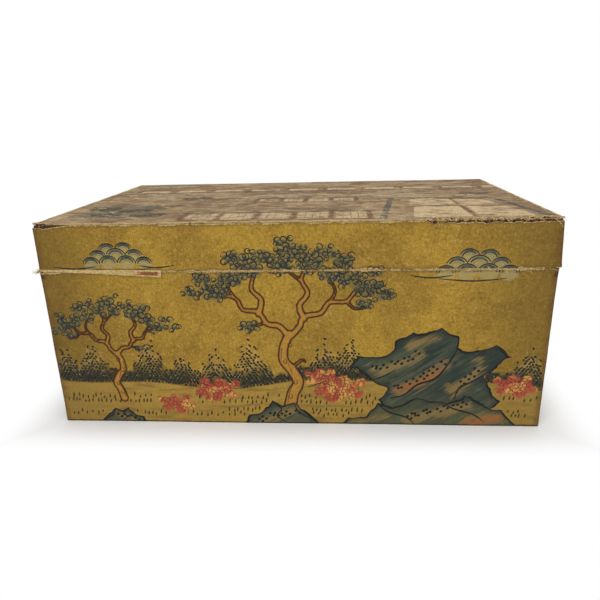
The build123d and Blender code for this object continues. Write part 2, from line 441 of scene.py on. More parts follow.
def moved_ovals(ovals, a, v, size, flip):
    """The same for a motif's ovals, each of which is a middle and how far it reaches either way."""
    middles = moved(ovals, a, v, size, flip)
    return [(*middle, size * oval[2], size * oval[3]) for middle, oval in zip(middles, ovals)]


def full_middle(width, count, ends=0.35, swelling=0.75, start=0.1):
    """Widths for a stroke that is thin at its ends and full in its middle."""
    return width * (ends + swelling * np.sin(np.linspace(start, math.pi - start, count)))


def spots_in(clumps, pitch, stray=0.35, slack=0.0):
    """Places for touches: a loose honeycomb over some clumps, with no two spots crowded."""
    spots = np.empty((0, 2))
    for centre_a, centre_v, reach_a, reach_v in clumps:
        rows = np.arange(-reach_v, reach_v + pitch, 0.87 * pitch)
        for row, rise in enumerate(rows):
            for run in np.arange(-reach_a + 0.5 * (row % 2) * pitch, reach_a + pitch, pitch):
                spot = np.array((centre_a + run, centre_v + rise)) + chance.normal(0, stray * pitch / 2, 2)
                far = math.hypot((spot[0] - centre_a) / reach_a, (spot[1] - centre_v) / reach_v)
                crowded = len(spots) and np.min(np.hypot(*(spots - spot).T)) < 0.6 * pitch
                if far < 1 + slack + chance.normal(0, 0.07) and not crowded:
                    spots = np.vstack([spots, spot])
    return spots


def clear_of(side, spots, washes, gap):
    """Which spots lie more than a gap outside all the shapes of some washes."""
    a, v = np.asarray(spots, float).T
    return np.all([side.depth(wash, a, v) > gap for wash in washes], axis=0)


def arc(centre, reach, start, stop, count, squash=1.0):
    """Points on an arc, with the angles measured from upright towards the right."""
    angles = np.linspace(start, stop, count)
    return np.array(centre) + reach * np.stack([np.sin(angles), squash * np.cos(angles)], 1)


def ring_leaf(side, spot, reach):
    """A leaf: a bold ring, with a blue-grey shade inside it and a pale light across from that."""
    start = chance.uniform(0, TURN)
    ring = arc(spot, reach, start, start + 0.93 * TURN, 9, chance.uniform(0.78, 1.0))
    width = 1.25 * np.array([0.5, 0.8, 1.05, 1.2, 1.15, 1.0, 0.85, 0.7, 0.45])
    side.stroke("leaf ink", ring, width * chance.uniform(0.8, 1.15))
    lean = chance.normal(math.pi, 0.9)
    side.stroke("leaf blue", arc(spot, 0.45 * reach, lean - 0.9, lean + 0.9, 4), [1.0, 2.6, 2.5, 0.9])
    if chance.uniform() < 0.55:
        side.stroke("leaf light", arc(spot, 0.55 * reach, lean + 2.4, lean + 3.9, 4), [0.4, 1.0, 1.0, 0.4])


def crown(side, clumps, reach=3.7):
    """The leafy head of a tree, made of oval clumps of ring leaves."""
    for one in clumps:
        side.shape("leaf", clump(*one))
    for spot in spots_in(clumps, 1.68 * reach, stray=0.4):
        ring_leaf(side, spot, reach * chance.uniform(0.72, 1.18))


def blossom(side, a, v, size=1.0, flip=False):
    """A flowering bush: small scallops over a ragged red and orange wash."""
    lobes = [(0, 0, 10, 8), (-13, 5, 9, 7), (11, 6, 9, 7), (3, 13, 8, 6), (-7, -8, 10, 6)]
    lobes += [(17, -4, 8, 5), (-22, -1, 7, 5), (23, 11, 6, 5), (-16, 14, 6, 5)]
    clumps = moved_ovals(lobes, a, v, size, flip)
    for one in clumps:
        side.shape("bloom", clump(*one))
    reach = 2.9
    spots = spots_in(clumps, 1.75 * reach, slack=-0.02)
    for spot in spots[clear_of(side, spots, ("near rock",), 1.5)]:
        lean = chance.uniform(-0.9, 0.9)
        side.stroke("bloom line", arc(spot, reach, lean - 1.9, lean + 1.9, 7), 0.85)


def shrub_height(peaks):
    """How tall a row of pointed shrubs stands over the ground, as a function of the place."""

    def height(a):
        tall = 15.0 + 4.0 * np.sin(a / 13.0) + 2.5 * np.sin(a / 3.7)
        for middle, tip, spread in peaks:
            leaning = a - middle - 0.12 * spread * math.sin(tip)
            share = np.clip(1 - np.abs(leaning) / spread, 0, 1)
            lobes = 1 + 0.2 * np.sin(leaning * 0.75 + tip)
            tall = np.maximum(tall, tip * share**0.62 * lobes)
        return tall

    return height


def stipple(side, ground, peaks):
    """A far row of pointed shrubs, built from slanting dots that thin out towards each tip."""
    height = shrub_height(peaks)
    side.shape("shrub", lambda a, v: np.maximum(v - ground(a) - height(a), ground(a) - 1 - v))
    column_pitch, row_pitch = 4.3, 3.4
    columns = np.arange(-side.half_width + 5, side.half_width - 5, column_pitch)
    a, row = (grid.ravel() for grid in np.meshgrid(columns, np.arange(20)))
    a = a + (row % 2) * column_pitch / 2 + chance.normal(0, 0.5, len(a))
    rise = 1.8 + row * row_pitch + chance.normal(0, 0.4, len(a))
    tall = height(a)
    spots = np.column_stack([a, ground(a) + rise])
    kept = (rise < tall) & (chance.uniform(size=len(a)) > 0.35 * (rise / tall) ** 2)
    kept &= clear_of(side, spots, ("far rock", "near rock", "bark", "bloom"), 1.2)
    middles = np.array([peak[0] for peak in peaks])
    for (a, v), rise, tall in zip(spots[kept], rise[kept], tall[kept]):
        slant = 1.0 if a < middles[np.argmin(np.abs(middles - a))] else -1.0
        half = chance.uniform(1.5, 2.3)
        tilt = math.radians(44 * slant + chance.normal(0, 20))
        step = half * np.array((math.cos(tilt), math.sin(tilt)))
        spot = np.array((a, v))
        full = chance.uniform(0.8, 1.15)
        side.stroke("stipple ink", [spot - step, spot, spot + step], [full, 2.9 * full, 0.9 * full])
        if 8 < rise < 0.8 * tall and chance.uniform() < 0.36:
            spot = spot + (column_pitch / 2, 0.5)
            side.stroke("stipple light", [spot - 0.7 * step, spot, spot + 0.7 * step], [0.4, 1.3, 0.4])


def grass(side, low, high, start, stop):
    """Rows of short upright ticks on open ground."""
    roots = np.cumsum(chance.uniform(3.8, 8.0, int((stop - start) / 6.0))) + start
    roots = np.column_stack([roots, chance.uniform(low, high, len(roots))])
    for a, v in roots[clear_of(side, roots, ("far rock", "near rock", "bark", "bloom"), 4)]:
        tall = chance.uniform(3.4, 6.8)
        side.stroke("grass ink", [(a, v), (a + 0.3, v + tall / 2), (a + 0.8, v + tall)], [1.4, 2.1, 0.5])


def moss(side, line, pitch=8.0):
    """Dark dots in pairs along a crack or a light in a rock."""
    track = rounded(line, steps=9)
    walked = np.cumsum(np.hypot(*np.diff(track, axis=0).T))
    for step in np.arange(0, walked[-1], pitch):
        spot = track[np.searchsorted(walked, step)] + chance.normal(0, 1.2, 2)
        for shift in ((-2.2, 2.4), (2.4, -0.6)):
            dot = spot + shift
            side.stroke("moss ink", [dot - (1.7, 0.9), dot, dot + (1.7, 0.9)], [1.6, 3.7, 1.4])


def ink_line(side, paint, line, widths, hidden_by=()):
    """A line in ink, broken where a nearer shape hides it."""
    seen = clear_of(side, line, hidden_by, 0.8) if hidden_by else np.ones(len(line), bool)
    starts = np.flatnonzero(seen & ~np.roll(seen, 1)) if not seen.all() else [0]
    for start in starts:
        stop = start
        while stop < len(line) and seen[stop]:
            stop += 1
        if stop - start > 1:
            side.stroke(paint, line[start:stop], widths[start:stop])


def crack(side, line, width=1.6):
    """A dark line inside a rock, thick in its middle."""
    track = rounded(line)
    side.stroke("rock ink", track, full_middle(width, len(track)))


# %% [markdown]
# ## The landscapes
#
# A garden in the old manner: rocks, leafy trees, banks of cloud, flowering bushes, a far row
# of shrubs and open ground with grass. Every motif is a function of its place and its size, so
# the front, the back and the ends can each arrange the same stock motifs in their own way.

# %% Rocks and trees that any wall may use


def rough_line(tips, hollow=0.10, step_length=3.2):
    """A line with a hollow curve between every two tips, listed clockwise, and a shaky hand."""
    line = []
    for k, (start, stop) in enumerate(zip(tips, tips[1:])):
        run = np.array(stop, float) - start
        length = np.hypot(*run)
        inward = np.array((run[1], -run[0])) / length
        deep = min(hollow * length, 6.0) * math.sin(2.3 * k + 0.9) + 0.05 * length
        steps = max(int(length / step_length), 2)
        for step in range(steps):
            t = step / steps
            shake = 3.4 * field.noise(Vector((0.21 * len(line), 3.0, 0.0)))
            shake += 1.5 * field.noise(Vector((0.62 * len(line), 5.0, 0.0)))
            line.append(start + run * t + inward * (deep * 4 * t * (1 - t) + shake))
    return line + [np.array(tips[-1], float)]


standing_rock = [(-60, 14), (-70, 38), (-58, 56), (-82, 68), (-110, 88), (-98, 103), (-60, 104), (-50, 124)]
standing_rock += [(-28, 136), (8, 144), (30, 132), (30, 116), (50, 110), (80, 119), (98, 102), (82, 88)]
standing_rock += [(66, 76), (76, 56), (90, 38), (68, 14)]
low_rock = [(-136, -8), (-112, 9), (-88, 12), (-72, 32), (-38, 31), (-20, 42), (18, 34), (44, 46), (70, 30)]
low_rock += [(94, 24), (132, -8)]
foot_rock = [(-58, -8), (-44, 10), (-26, 16), (-14, 31), (12, 28), (32, 12), (56, -8)]


def rock(side, wash, tips, a, size=1.0, flip=False, hidden_by=()):
    """A rock with hollow flanks and a brush outline that runs thick and thin."""
    line = np.array(moved(rough_line(tips), a, 0, size, flip))
    side.shape(wash, outline(line))
    press_down = [2.0 + 2.6 * field.noise(Vector((0.13 * k, 8.0, a))) for k in range(len(line))]
    ink_line(side, "rock ink", line, np.clip(press_down, 0.9, 3.6), hidden_by)


def low_foot(side, a, size=1.0, flip=False):
    """The small rock at a tree's foot, with a light, some moss and two cracks."""
    rock(side, "near rock", foot_rock, a, size, flip)
    side.shape("ochre", limb(moved([(-24, 3), (-4, 15), (16, 20)], a, 0, size, flip), 10 * size, 5 * size))
    moss(side, moved([(-30, 5), (-8, 13), (20, 15)], a, 0, size, flip))
    crack(side, moved([(-12, 28), (-3, 20), (-9, 11), (3, 1)], a, 0, size, flip))
    crack(side, moved([(14, 25), (19, 16), (33, 7)], a, 0, size, flip), 1.4)


def rock_group(side, a, size=1.0, flip=False):
    """A tall standing rock behind a low slab, with ochre lights, cracks and moss."""
    rock(side, "near rock", low_rock, a, size, flip)
    rock(side, "far rock", standing_rock, a, size, flip, hidden_by=("near rock",))
    ochres = [[(-78, 82), (-40, 92), (-16, 108)], [(26, 54), (50, 74), (62, 96)], [(-106, 0), (-62, 16)]]
    ochres += [[(-30, 8), (14, 22), (50, 30)], [(-30, 118), (2, 130)]]
    oranges = [[(-46, 54), (-14, 68), (16, 92)], [(52, 4), (78, 12), (96, 8)]]
    for light in ochres:
        side.shape("ochre", limb(moved(light, a, 0, size, flip), 13 * size, 6 * size))
    for light in oranges:
        side.shape("orange", limb(moved(light, a, 0, size, flip), 14 * size, 7 * size))
    for line in (ochres[0], oranges[0], ochres[3], [(40, 60), (58, 82)]):
        moss(side, moved(line, a, 4 * size, size, flip))
    cracks = [
        ([(-56, 42), (-38, 46), (-20, 62), (4, 72), (20, 94), (30, 114)], 2.4),
        ([(30, 40), (36, 58), (50, 66), (66, 76)], 2.2),
        ([(-82, 68), (-66, 74), (-50, 84)], 1.6),
        ([(-72, 32), (-58, 20), (-34, 12), (-22, 2)], 2.0),
        ([(18, 34), (30, 26), (56, 18), (70, 8)], 2.0),
    ]
    for line, width in cracks:
        crack(side, moved(line, a, 0, size, flip), width)


def tree(side, a, v, size=1.0, flip=False):
    """A leafy tree with a bent trunk, kinked boughs and ragged clumps of leaves."""
    trunk = [(0, 0), (4, 18), (11, 34), (4, 50), (-6, 64), (-5, 82), (2, 98)]
    boughs = [
        [(2, 94), (-10, 108), (-24, 111), (-34, 126), (-52, 129), (-60, 143), (-80, 149)],
        [(2, 94), (14, 107), (20, 120), (40, 125), (50, 138), (70, 139), (82, 152), (100, 150)],
        [(20, 118), (15, 134), (25, 149), (18, 166), (25, 182)],
        [(-34, 124), (-30, 141), (-41, 155), (-36, 174)],
    ]
    twigs = [
        [(50, 137), (57, 152), (50, 168)],
        [(-60, 142), (-68, 156), (-64, 166)],
        [(-26, 112), (-42, 108)],
        [(70, 139), (80, 130), (92, 132)],
        [(18, 164), (4, 176), (-2, 188)],
        [(4, 54), (16, 64), (20, 62)],
    ]
    side.shape("bark", limb(moved(trunk, a, v, size, flip), 15 * size, 9.5 * size))
    for points in boughs:
        side.shape("bark", limb(moved(points, a, v, size, flip), 7.6 * size, 3.2 * size))
    for points in twigs:
        side.shape("bark", limb(moved(points, a, v, size, flip), 3.6 * size, 2.0 * size))
    heads = [(-86, 152, 20, 11), (-66, 167, 18, 11), (-98, 168, 13, 8), (-44, 178, 20, 12)]
    heads += [(-27, 193, 19, 10), (-58, 192, 15, 9), (-6, 182, 15, 10), (9, 198, 22, 10)]
    heads += [(29, 185, 19, 11), (50, 172, 15, 10), (46, 198, 17, 9), (70, 168, 19, 11)]
    heads += [(67, 187, 15, 9), (94, 157, 21, 11), (113, 147, 15, 8), (90, 137, 12, 7)]
    heads += [(103, 173, 12, 7), (-114, 151, 12, 7), (-46, 108, 13, 7), (0, 210, 13, 7)]
    crown(side, moved_ovals(heads, a, v, size, flip))
    for knot in moved([(-4, 62), (8, 34), (2, 84), (1, 14)], a, v, size, flip):
        side.stroke("bark ink", arc(knot, 2.2, 0, 0.85 * TURN, 7, 1.3), 0.9)
    for line in ([(-3, 4), (0, 20), (6, 34)], [(-9, 66), (-8, 80)], [(4, 46), (-1, 60)]):
        side.stroke("bark ink", rounded(moved(line, a, v, size, flip)), 0.7)


def cloud(side, a, v, size=1.0, flip=False):
    """A bank of cloud: three rows of scallops, each drawn in three lines, over long tails."""
    rows = [
        [(-38, 0, 11), (-15, 1, 12), (9, 1, 12), (32, 0, 11)],
        [(-26, 9, 12), (-2, 10, 13), (22, 9, 11)],
        [(-13, 19, 11), (9, 18, 11)],
    ]
    sign = -1 if flip else 1
    lines = (("leaf ink", 1.0, 1.5), ("leaf blue", 0.74, 2.5), ("leaf light", 0.46, 1.7))
    nearer = ()
    for row_index, row in enumerate(rows):
        row_name = f"cloud row {row_index} at {a}"
        for head_a, head_v, reach in row:
            middle = (a + sign * size * head_a, v + size * head_v)
            for paint, share, width in lines:
                scallop = arc(middle, share * size * reach, -1.5, 1.5, 13, 0.85)
                ink_line(side, paint, scallop, full_middle(width, 13, start=0.2), nearer)
        for head_a, head_v, reach in row:
            head = clump(a + sign * size * head_a, v + size * head_v, size * reach, 0.85 * size * reach)
            side.shape(row_name, head)
            side.shape("cloud", head)
        nearer = nearer + (row_name,)
    for drop, start, stop in ((-3, -78, -30), (-7, -46, 30), (-4, 26, 84)):
        tail = [(start, drop + 1), ((start + stop) / 2, drop - 2), (stop, drop + 1)]
        track = rounded(moved(tail, a, v, size, flip))
        side.stroke("leaf ink", track, full_middle(1.7, len(track), 0.3, 0.8))


def mound(side, a, v, reach, flip=False):
    """A little bank of bare earth at the edge of the open ground."""
    side.shape("mound", clump(a, v, reach, 0.2 * reach))
    sign = -1 if flip else 1
    line = [(a - sign * reach, v), (a, v + 0.3 * reach), (a + sign * 1.3 * reach, v - 0.1 * reach)]
    side.stroke("bark ink", rounded(line), 1.1)


# %% Paint the front


def front_ground(a):
    return 57 + 6 * np.sin(a / 74) + 3.5 * np.sin(a / 31 + 1)


def back_ground(a):
    return 60 + 7 * np.sin(a / 90 + 2) + 3 * np.sin(a / 27)


def end_ground(a):
    return 57 + 6 * np.sin(a / 58 + 1)


def open_ground(side, ground):
    side.shape("land", lambda a, v: v - ground(a))


def tell_strokes(side):
    print(f"{side.name}:", {paint: len(lines) for paint, lines in side.strokes.items()})


rock_group(front, 168, 0.9)
low_foot(front, -14)
tree(front, -6, 24)
low_foot(front, -224, 0.62, flip=True)
tree(front, -218, 34, 0.64, flip=True)
cloud(front, 214, 196)
cloud(front, -206, 210, 0.9, flip=True)
for bush_a, bush_v, bush_size, bush_flip in (
    (56, 46, 1.1, False),
    (34, 62, 0.75, True),
    (266, 52, 0.9, True),
    (-96, 44, 1.0, False),
    (-150, 24, 0.8, True),
):
    blossom(front, bush_a, bush_v, bush_size, bush_flip)
open_ground(front, front_ground)
front_peaks = [(-284, 42, 26), (-250, 50, 28), (-178, 54, 28), (-140, 40, 24), (-96, 50, 30), (-58, 58, 32)]
front_peaks += [(36, 46, 26), (70, 50, 28), (282, 50, 26)]
stipple(front, front_ground, front_peaks)
mound(front, -128, 54, 16)
mound(front, 34, 53, 13, flip=True)
front_grass = ((33, 38, -290, 290), (27, 30, -296, 120), (9, 14, -292, 292), (16, 19, -90, 294))
for low, high, start, stop in front_grass:
    grass(front, low, high, start, stop)
tell_strokes(front)

# %% Paint the back
rock_group(back, 0, 0.66, flip=True)
low_foot(back, -188, 0.9)
tree(back, -184, 20, 0.9)
tree(back, 178, 18, 0.95, flip=True)
cloud(back, -4, 178, 1.1)
for bush_a, bush_v, bush_size, bush_flip in (
    (-104, 46, 1.0, True),
    (98, 44, 0.9, False),
    (-252, 44, 0.9, False),
    (238, 28, 0.9, True),
):
    blossom(back, bush_a, bush_v, bush_size, bush_flip)
open_ground(back, back_ground)
back_peaks = [(-284, 46, 26), (-226, 40, 26), (-140, 52, 32), (-96, 38, 26), (84, 54, 28), (128, 46, 28)]
back_peaks += [(222, 60, 34), (250, 44, 30)]
stipple(back, back_ground, back_peaks + [(280, 54, 26)])
mound(back, 136, 60, 18)
for low, high, start, stop in ((36, 41, -290, 290), (28, 32, -296, 296), (10, 16, -292, 292)):
    grass(back, low, high, start, stop)
tell_strokes(back)

# %% Paint the ends
end_peaks = ((-152, 48), (64, 54), (104, 40), (146, 56))
for end, flip in ((left, False), (right, True)):
    rock_group(end, 44 if flip else -52, 0.8, flip)
    sign = -1 if flip else 1
    tree(end, sign * 106, 24, 0.62, flip)
    cloud(end, sign * -72, 196, 0.9, flip)
    blossom(end, sign * 44, 40, 1.0, flip)
    blossom(end, sign * -142, 36, 0.8, flip)
    open_ground(end, end_ground)
    stipple(end, end_ground, [(sign * middle, tall, 30) for middle, tall in end_peaks])
    mound(end, sign * 116, 50, 16, flip)
    grass(end, 33, 39, -180, 180)
    grass(end, 11, 17, -180, 180)
    tell_strokes(end)

# %% [markdown]
# ## The picture on the top
#
# The top was painted with a terrace, fences and banks of cloud, and years of things set down on
# it have rubbed it to browns and pale panels. It is drawn on its sheet as the walls are, and
# its own finish wears it through later.

# %% Paint the top


def fence(start_a, stop_a, foot, tall, count):
    """A low fence: pale panels between brown posts under a blue-grey rail."""
    pitch = (stop_a - start_a) / count
    for i in range(count):
        a = start_a + i * pitch
        first, last = a + 5, a + pitch - 5
        sill, brim = foot + 4, foot + tall
        top.shape("panel", outline([(first, sill), (last, sill), (last, brim), (first, brim)]))
        for bar in range(1, 5):
            level = foot + 4 + bar * (tall - 4) / 5
            top.stroke("fence line", [(a + 6, level), (a + pitch - 6, level)], 0.7)
        for bar in range(1, 4):
            across = a + 5 + bar * (pitch - 10) / 4
            top.stroke("fence line", [(across, foot + 6), (across, foot + tall - 2)], 0.6)
    for i in range(count + 1):
        top.shape("post", limb([(start_a + i * pitch, foot), (start_a + i * pitch, foot + tall + 8)], 6, 5))
    top.shape("post", limb([(start_a - 4, foot), (stop_a + 4, foot)], 5, 5))
    top.shape("beam", limb([(start_a - 6, foot + tall + 9), (stop_a + 6, foot + tall + 9)], 6, 6))


fence(-132, 92, -176, 44, 5)
fence(-60, 80, -44, 30, 4)
terrace = [(104, -186), (128, -20), (262, -34), (292, -186)]
top.shape("panel", outline([(140, -172), (150, -96), (206, -100), (206, -172)]))
top.shape("panel", outline([(214, -172), (214, -100), (262, -104), (276, -172)]))
top.shape("panel", outline([(146, -86), (152, -36), (246, -44), (258, -92)]))
top.shape("beam", limb([terrace[0], terrace[1]], 9, 7))
top.shape("beam", limb([terrace[1], terrace[2]], 8, 8))
top.shape("beam", limb([terrace[2], terrace[3]], 8, 10))
top.shape("post", limb([(210, -176), (206, -34)], 6, 5))
top.shape("beam", limb([(-290, 60), (-120, 74), (40, 66), (180, 80), (292, 70)], 8, 8))
top.shape("post", limb([(-290, 96), (292, 104)], 5, 5))
for a in range(-270, 290, 60):
    top.shape("post", limb([(a, 62), (a + 4, 100)], 4, 4))
    top.shape("panel", outline([(a + 8, 78), (a + 52, 78), (a + 52, 98), (a + 8, 98)]))
for cloud_a, cloud_v in ((-210, 20), (-30, 24), (120, 16), (-232, 150), (30, 148), (214, 140)):
    for lobe in range(5):
        middle = (cloud_a + 17 * lobe - 34, cloud_v + 6 * math.sin(2.1 * lobe))
        top.shape("cloud", clump(*middle, 14, 9))
        angles = np.linspace(-1.4, 1.5, 7)
        curl = np.array(middle) + np.stack([13 * np.sin(angles), 8.5 * np.cos(angles)], 1)
        top.stroke("fence line", curl, [0.4, 0.8, 1, 1.1, 1, 0.8, 0.4])
for band_v, band_reach, count in ((-70, 26, 90), (46, 14, 80), (122, 22, 70), (-120, 40, 60)):
    for _ in range(count):
        a, v = chance.uniform(-280, 280), band_v + chance.normal(0, band_reach)
        long, lean = chance.uniform(2, 9), chance.normal(0, 0.12)
        step = long * np.array((math.cos(lean), math.sin(lean)))
        paint = ("dab cream", "dab dark", "dab red")[chance.integers(3)]
        widths = [0.8, chance.uniform(1.2, 2.4), 0.7]
        top.stroke(paint, [(a, v) - step, (a, v + 0.4), (a, v) + step], widths)
for head_a, head_v in ((-118, 8), (-70, -4), (-16, 4), (34, -2), (86, 10), (172, 2), (232, -6), (-190, 92)):
    for spot in spots_in([(head_a, head_v, 15, 8)], 6.5):
        top.stroke("dab cream", arc(spot, 2.6, -1.5, 1.5, 5), [1.6, 3.6, 4.2, 3.6, 1.6])
top_rock = [(-284, -150), (-268, -96), (-280, -60), (-246, -34), (-216, -58), (-196, -44), (-170, -84)]
top.shape("far rock", outline(top_rock + [(-184, -120), (-164, -152)]))
for clump_a, clump_v in ((-236, -128), (-206, -100), (-254, -84), (-180, -130), (-150, 6), (250, 10)):
    for spot in spots_in([(clump_a, clump_v, 22, 14)], 8.5):
        ring_leaf(top, spot, 3.4)
    top.shape("leaf", clump(clump_a, clump_v, 22, 14))
tell_strokes(top)

# %% [markdown]
# ## How the hide lies
#
# Old hide on boards isn't flat. It swells and sinks by a fraction of a millimetre, and it
# stands away a little where the lid meets the tray. One function says how far it stands out
# at any place, so that the hide and the paint on it always agree. At the right end the lid's
# hide has come loose low down, and stands out over the tray.

# %% The hide's relief
lid_overhang = 2.8
usual_stand = 0.2
top_drop = 0.2


def swell(places):
    """How far the hide stands out of its ideal face, in millimetres."""
    x, y, z = places.T
    slow = np.sin(x / 47 + 0.9 * np.sin(z / 39)) * np.cos(z / 31 + y / 43 + 0.7)
    quick = np.sin(x / 17.3 + z / 13.1 + 1.1) * np.sin(y / 15.7 - z / 19.3 + x / 29)
    fine = np.sin(x / 6.1 - z / 5.3) * np.sin(z / 7.7 + y / 6.9 + x / 11)
    flare = np.exp(-np.abs(z - seam) / 3.5) * (0.75 + 0.35 * np.sin(x / 23 + y / 31))
    flare = np.where(z > wall_top - 0.5, 0.0, flare)
    low_down = np.clip((z - seam) / 1.5, 0, 1) * np.clip((wall_top - z) / (wall_top - seam), 0, 1)
    loosened = lid_overhang * low_down * np.clip((x - half_length + 26) / 26, 0, 1) ** 2
    return 0.28 * slow + 0.14 * quick + 0.05 * fine + flare + loosened + usual_stand


def top_swell(places):
    """The same for the top skin, which is drawn tighter and lies a little lower."""
    return 0.6 * (swell(places) - usual_stand) - top_drop


# %% [markdown]
# ## Cutting and wrapping a hide
#
# A leather worker cuts a hide flat, damps it and folds it round the boards. This does the
# same: a grid is the flat hide, `walk_round` folds it round the corners, and a Solidify
# modifier gives it thickness on the inside. The flat measures stay with it as its UV map.

# %% Fold a flat sheet round the walls


def walk_round(u, half_run, half_across):
    """Plan place and outward direction at a distance u along a wall, on round its corners."""
    straight = half_run - corner
    past = np.abs(u) - straight
    angle = np.clip(past / corner, 0, math.pi / 2)
    beyond = np.maximum(past - corner * math.pi / 2, 0)
    sign = np.sign(u)
    x = sign * (np.minimum(np.abs(u), straight) + corner * np.sin(angle))
    y = corner * (1 - np.cos(angle)) + beyond - half_across
    return np.stack([x, y], 1), np.stack([sign * np.sin(angle), -np.cos(angle)], 1)


def turned(points, quarter_turns):
    """Plan points turned about the middle of the chest."""
    for _ in range(quarter_turns):
        points = np.stack([-points[:, 1], points[:, 0]], 1)
    return points


# The washes that each finish asks for, and so the attributes that each sheet has to carry.
wash_names = ["land", "shrub", "mound", "far rock", "near rock", "ochre", "orange", "bark", "leaf"]
wash_names += ["bloom", "cloud"]
top_wash_names = ["panel", "post", "beam", "cloud", "far rock", "leaf"]


def flat_grid(name, columns, rows):
    """A flat sheet from -0.5 to 0.5 each way, as a mesh."""
    sheet = bmesh.new()
    bmesh.ops.create_grid(sheet, x_segments=columns, y_segments=rows, size=0.5)
    mesh = bpy.data.meshes.new(name)
    sheet.to_mesh(mesh)
    sheet.free()
    corners = np.zeros(len(mesh.vertices) * 3)
    mesh.vertices.foreach_get("co", corners)
    return mesh, corners.reshape(-1, 3)


def set_attribute(mesh, name, values):
    """One number at each point of a mesh, for its finish to read."""
    layer = mesh.attributes.new(name, "FLOAT", "POINT")
    layer.data.foreach_set("value", np.asarray(values, np.float32))


# The face fills most of the UV map, and the hidden side goes into the corner that is left.
face_map_start, face_map_share = 0.005, 0.92
hidden_map_start, hidden_map_share = 0.93, 0.06


def set_flat_map(mesh, flat):
    """The flat sheet as the UV map, short of the corner where thicken puts the hidden side."""
    places = face_map_start + face_map_share * (flat[:, :2] + 0.5)
    chart_layer = mesh.uv_layers.new(name="OFBake")
    owners = np.zeros(len(mesh.loops), int)
    mesh.loops.foreach_get("vertex_index", owners)
    chart_layer.data.foreach_set("uv", places[owners].astype(np.float32).ravel())


def thicken(mesh, name, thickness, finishes):
    """Gives a sheet its thickness behind its face, and puts the hidden side in a corner of the map."""
    holder = bpy.data.objects.new(name, mesh)
    bpy.context.scene.collection.objects.link(holder)
    for finish in finishes:
        mesh.materials.append(finish)
    shell = holder.modifiers.new("thickness", "SOLIDIFY")
    shell.thickness = thickness * MM
    shell.offset = -1
    shell.material_offset = 1
    shell.material_offset_rim = 1
    face_count = len(mesh.polygons)
    solid = bpy.data.meshes.new_from_object(holder.evaluated_get(bpy.context.evaluated_depsgraph_get()))
    holder.modifiers.clear()
    holder.data = solid
    solid.name = name
    for polygon in solid.polygons:
        polygon.use_smooth = True
    layer = solid.uv_layers["OFBake"]
    uv = np.zeros(len(layer.data) * 2)
    layer.data.foreach_get("uv", uv)
    uv = uv.reshape(-1, 2)
    first_hidden = solid.polygons[face_count].loop_start
    uv[first_hidden:] = hidden_map_start + hidden_map_share * uv[first_hidden:]
    layer.data.foreach_set("uv", uv.astype(np.float32).ravel())
    print("skin", name, "has", len(solid.polygons), "faces")
    return holder


# An edge is nibbled in a band this wide, and a point belongs to the wall that it faces this much.
nibbled_band = 7
facing_share = 0.70


def wall_hide(name, side_index, low, high, half_reach, pitch, edges, finishes):
    """A hide on one wall, from low to high, reaching half_reach either way from the middle."""
    columns = int(2 * half_reach / pitch)
    rows = int((high - low) / pitch)
    mesh, flat = flat_grid(name, columns, rows)
    u = flat[:, 0] * 2 * half_reach
    v = low + (flat[:, 1] + 0.5) * (high - low)
    side = walls[side_index]
    across = half_length + half_depth - side.half_width
    plan, out = walk_round(u, side.half_width, across)
    plan, out = turned(plan, side_index), turned(out, side_index)
    for edge_level, direction, bite in edges:
        reach = np.clip(1 - np.abs(v - edge_level) / nibbled_band, 0, 1)
        v = v + direction * reach * bite(u, plan)
    places = np.column_stack([plan, v])
    stand = swell(places)
    places[:, :2] += out * stand[:, None]
    mesh.vertices.foreach_set("co", (places * MM).ravel())
    faced = [(facing, out @ facing.normal[:2] > facing_share) for facing in walls]
    for wash in wash_names:
        values = np.full(len(u), far_outside)
        for facing, mine in faced:
            a = places[mine, :2] @ facing.right[:2]
            values[mine] = facing.depth(wash, a, v[mine])
        set_attribute(mesh, wash, values)
    to_corner = np.zeros(len(u))
    for facing, mine in faced:
        to_corner[mine] = facing.half_width - np.abs(plan[mine] @ facing.right[:2])
    set_attribute(mesh, "to corner", to_corner)
    from_low = (flat[:, 1] + 0.5) * (high - low)
    gaps = [from_low if level == low else high - low - from_low for level, _, _ in edges]
    set_attribute(mesh, "to edge", np.minimum.reduce(gaps))
    set_flat_map(mesh, flat)
    return thicken(mesh, name, hide, finishes)


# %% Cut the top skin flat


def top_skin(name, pitch, finishes):
    """The skin over the top, with nibbled edges and a long tear along the front right."""
    mesh, flat = flat_grid(name, int(2 * half_length / pitch), int(2 * half_depth / pitch))
    a = flat[:, 0] * 2 * half_length
    v = flat[:, 1] * 2 * half_depth
    to_front, to_back = v + half_depth, half_depth - v
    to_end = half_length - np.abs(a)
    to_edge = np.minimum(np.minimum(to_front, to_back), to_end)
    tear = torn_back(a)
    places = np.column_stack([a, v, np.full(len(a), chest_top)])
    places[:, 1] += np.clip(1 - to_front / 10, 0, 1) * tear
    places[:, 1] -= np.clip(1 - to_back / 9, 0, 1) * 0.7 * ripple(a, 29, 3.0)
    places[:, 0] -= np.sign(a) * np.clip(1 - to_end / 9, 0, 1) * 0.8 * ripple(v, 19, 4.0 + np.pi)
    lift = np.exp(-to_front / 3.5) * (0.3 + 0.5 * ripple(a, 31, 6.0) + 0.3 * tear)
    places[:, 2] += top_swell(places) + lift
    mesh.vertices.foreach_set("co", (places * MM).ravel())
    for wash in top_wash_names:
        set_attribute(mesh, wash, top.depth(wash, a, v))
    set_attribute(mesh, "to edge", to_edge)
    set_flat_map(mesh, flat)
    return thicken(mesh, name, hide, finishes)
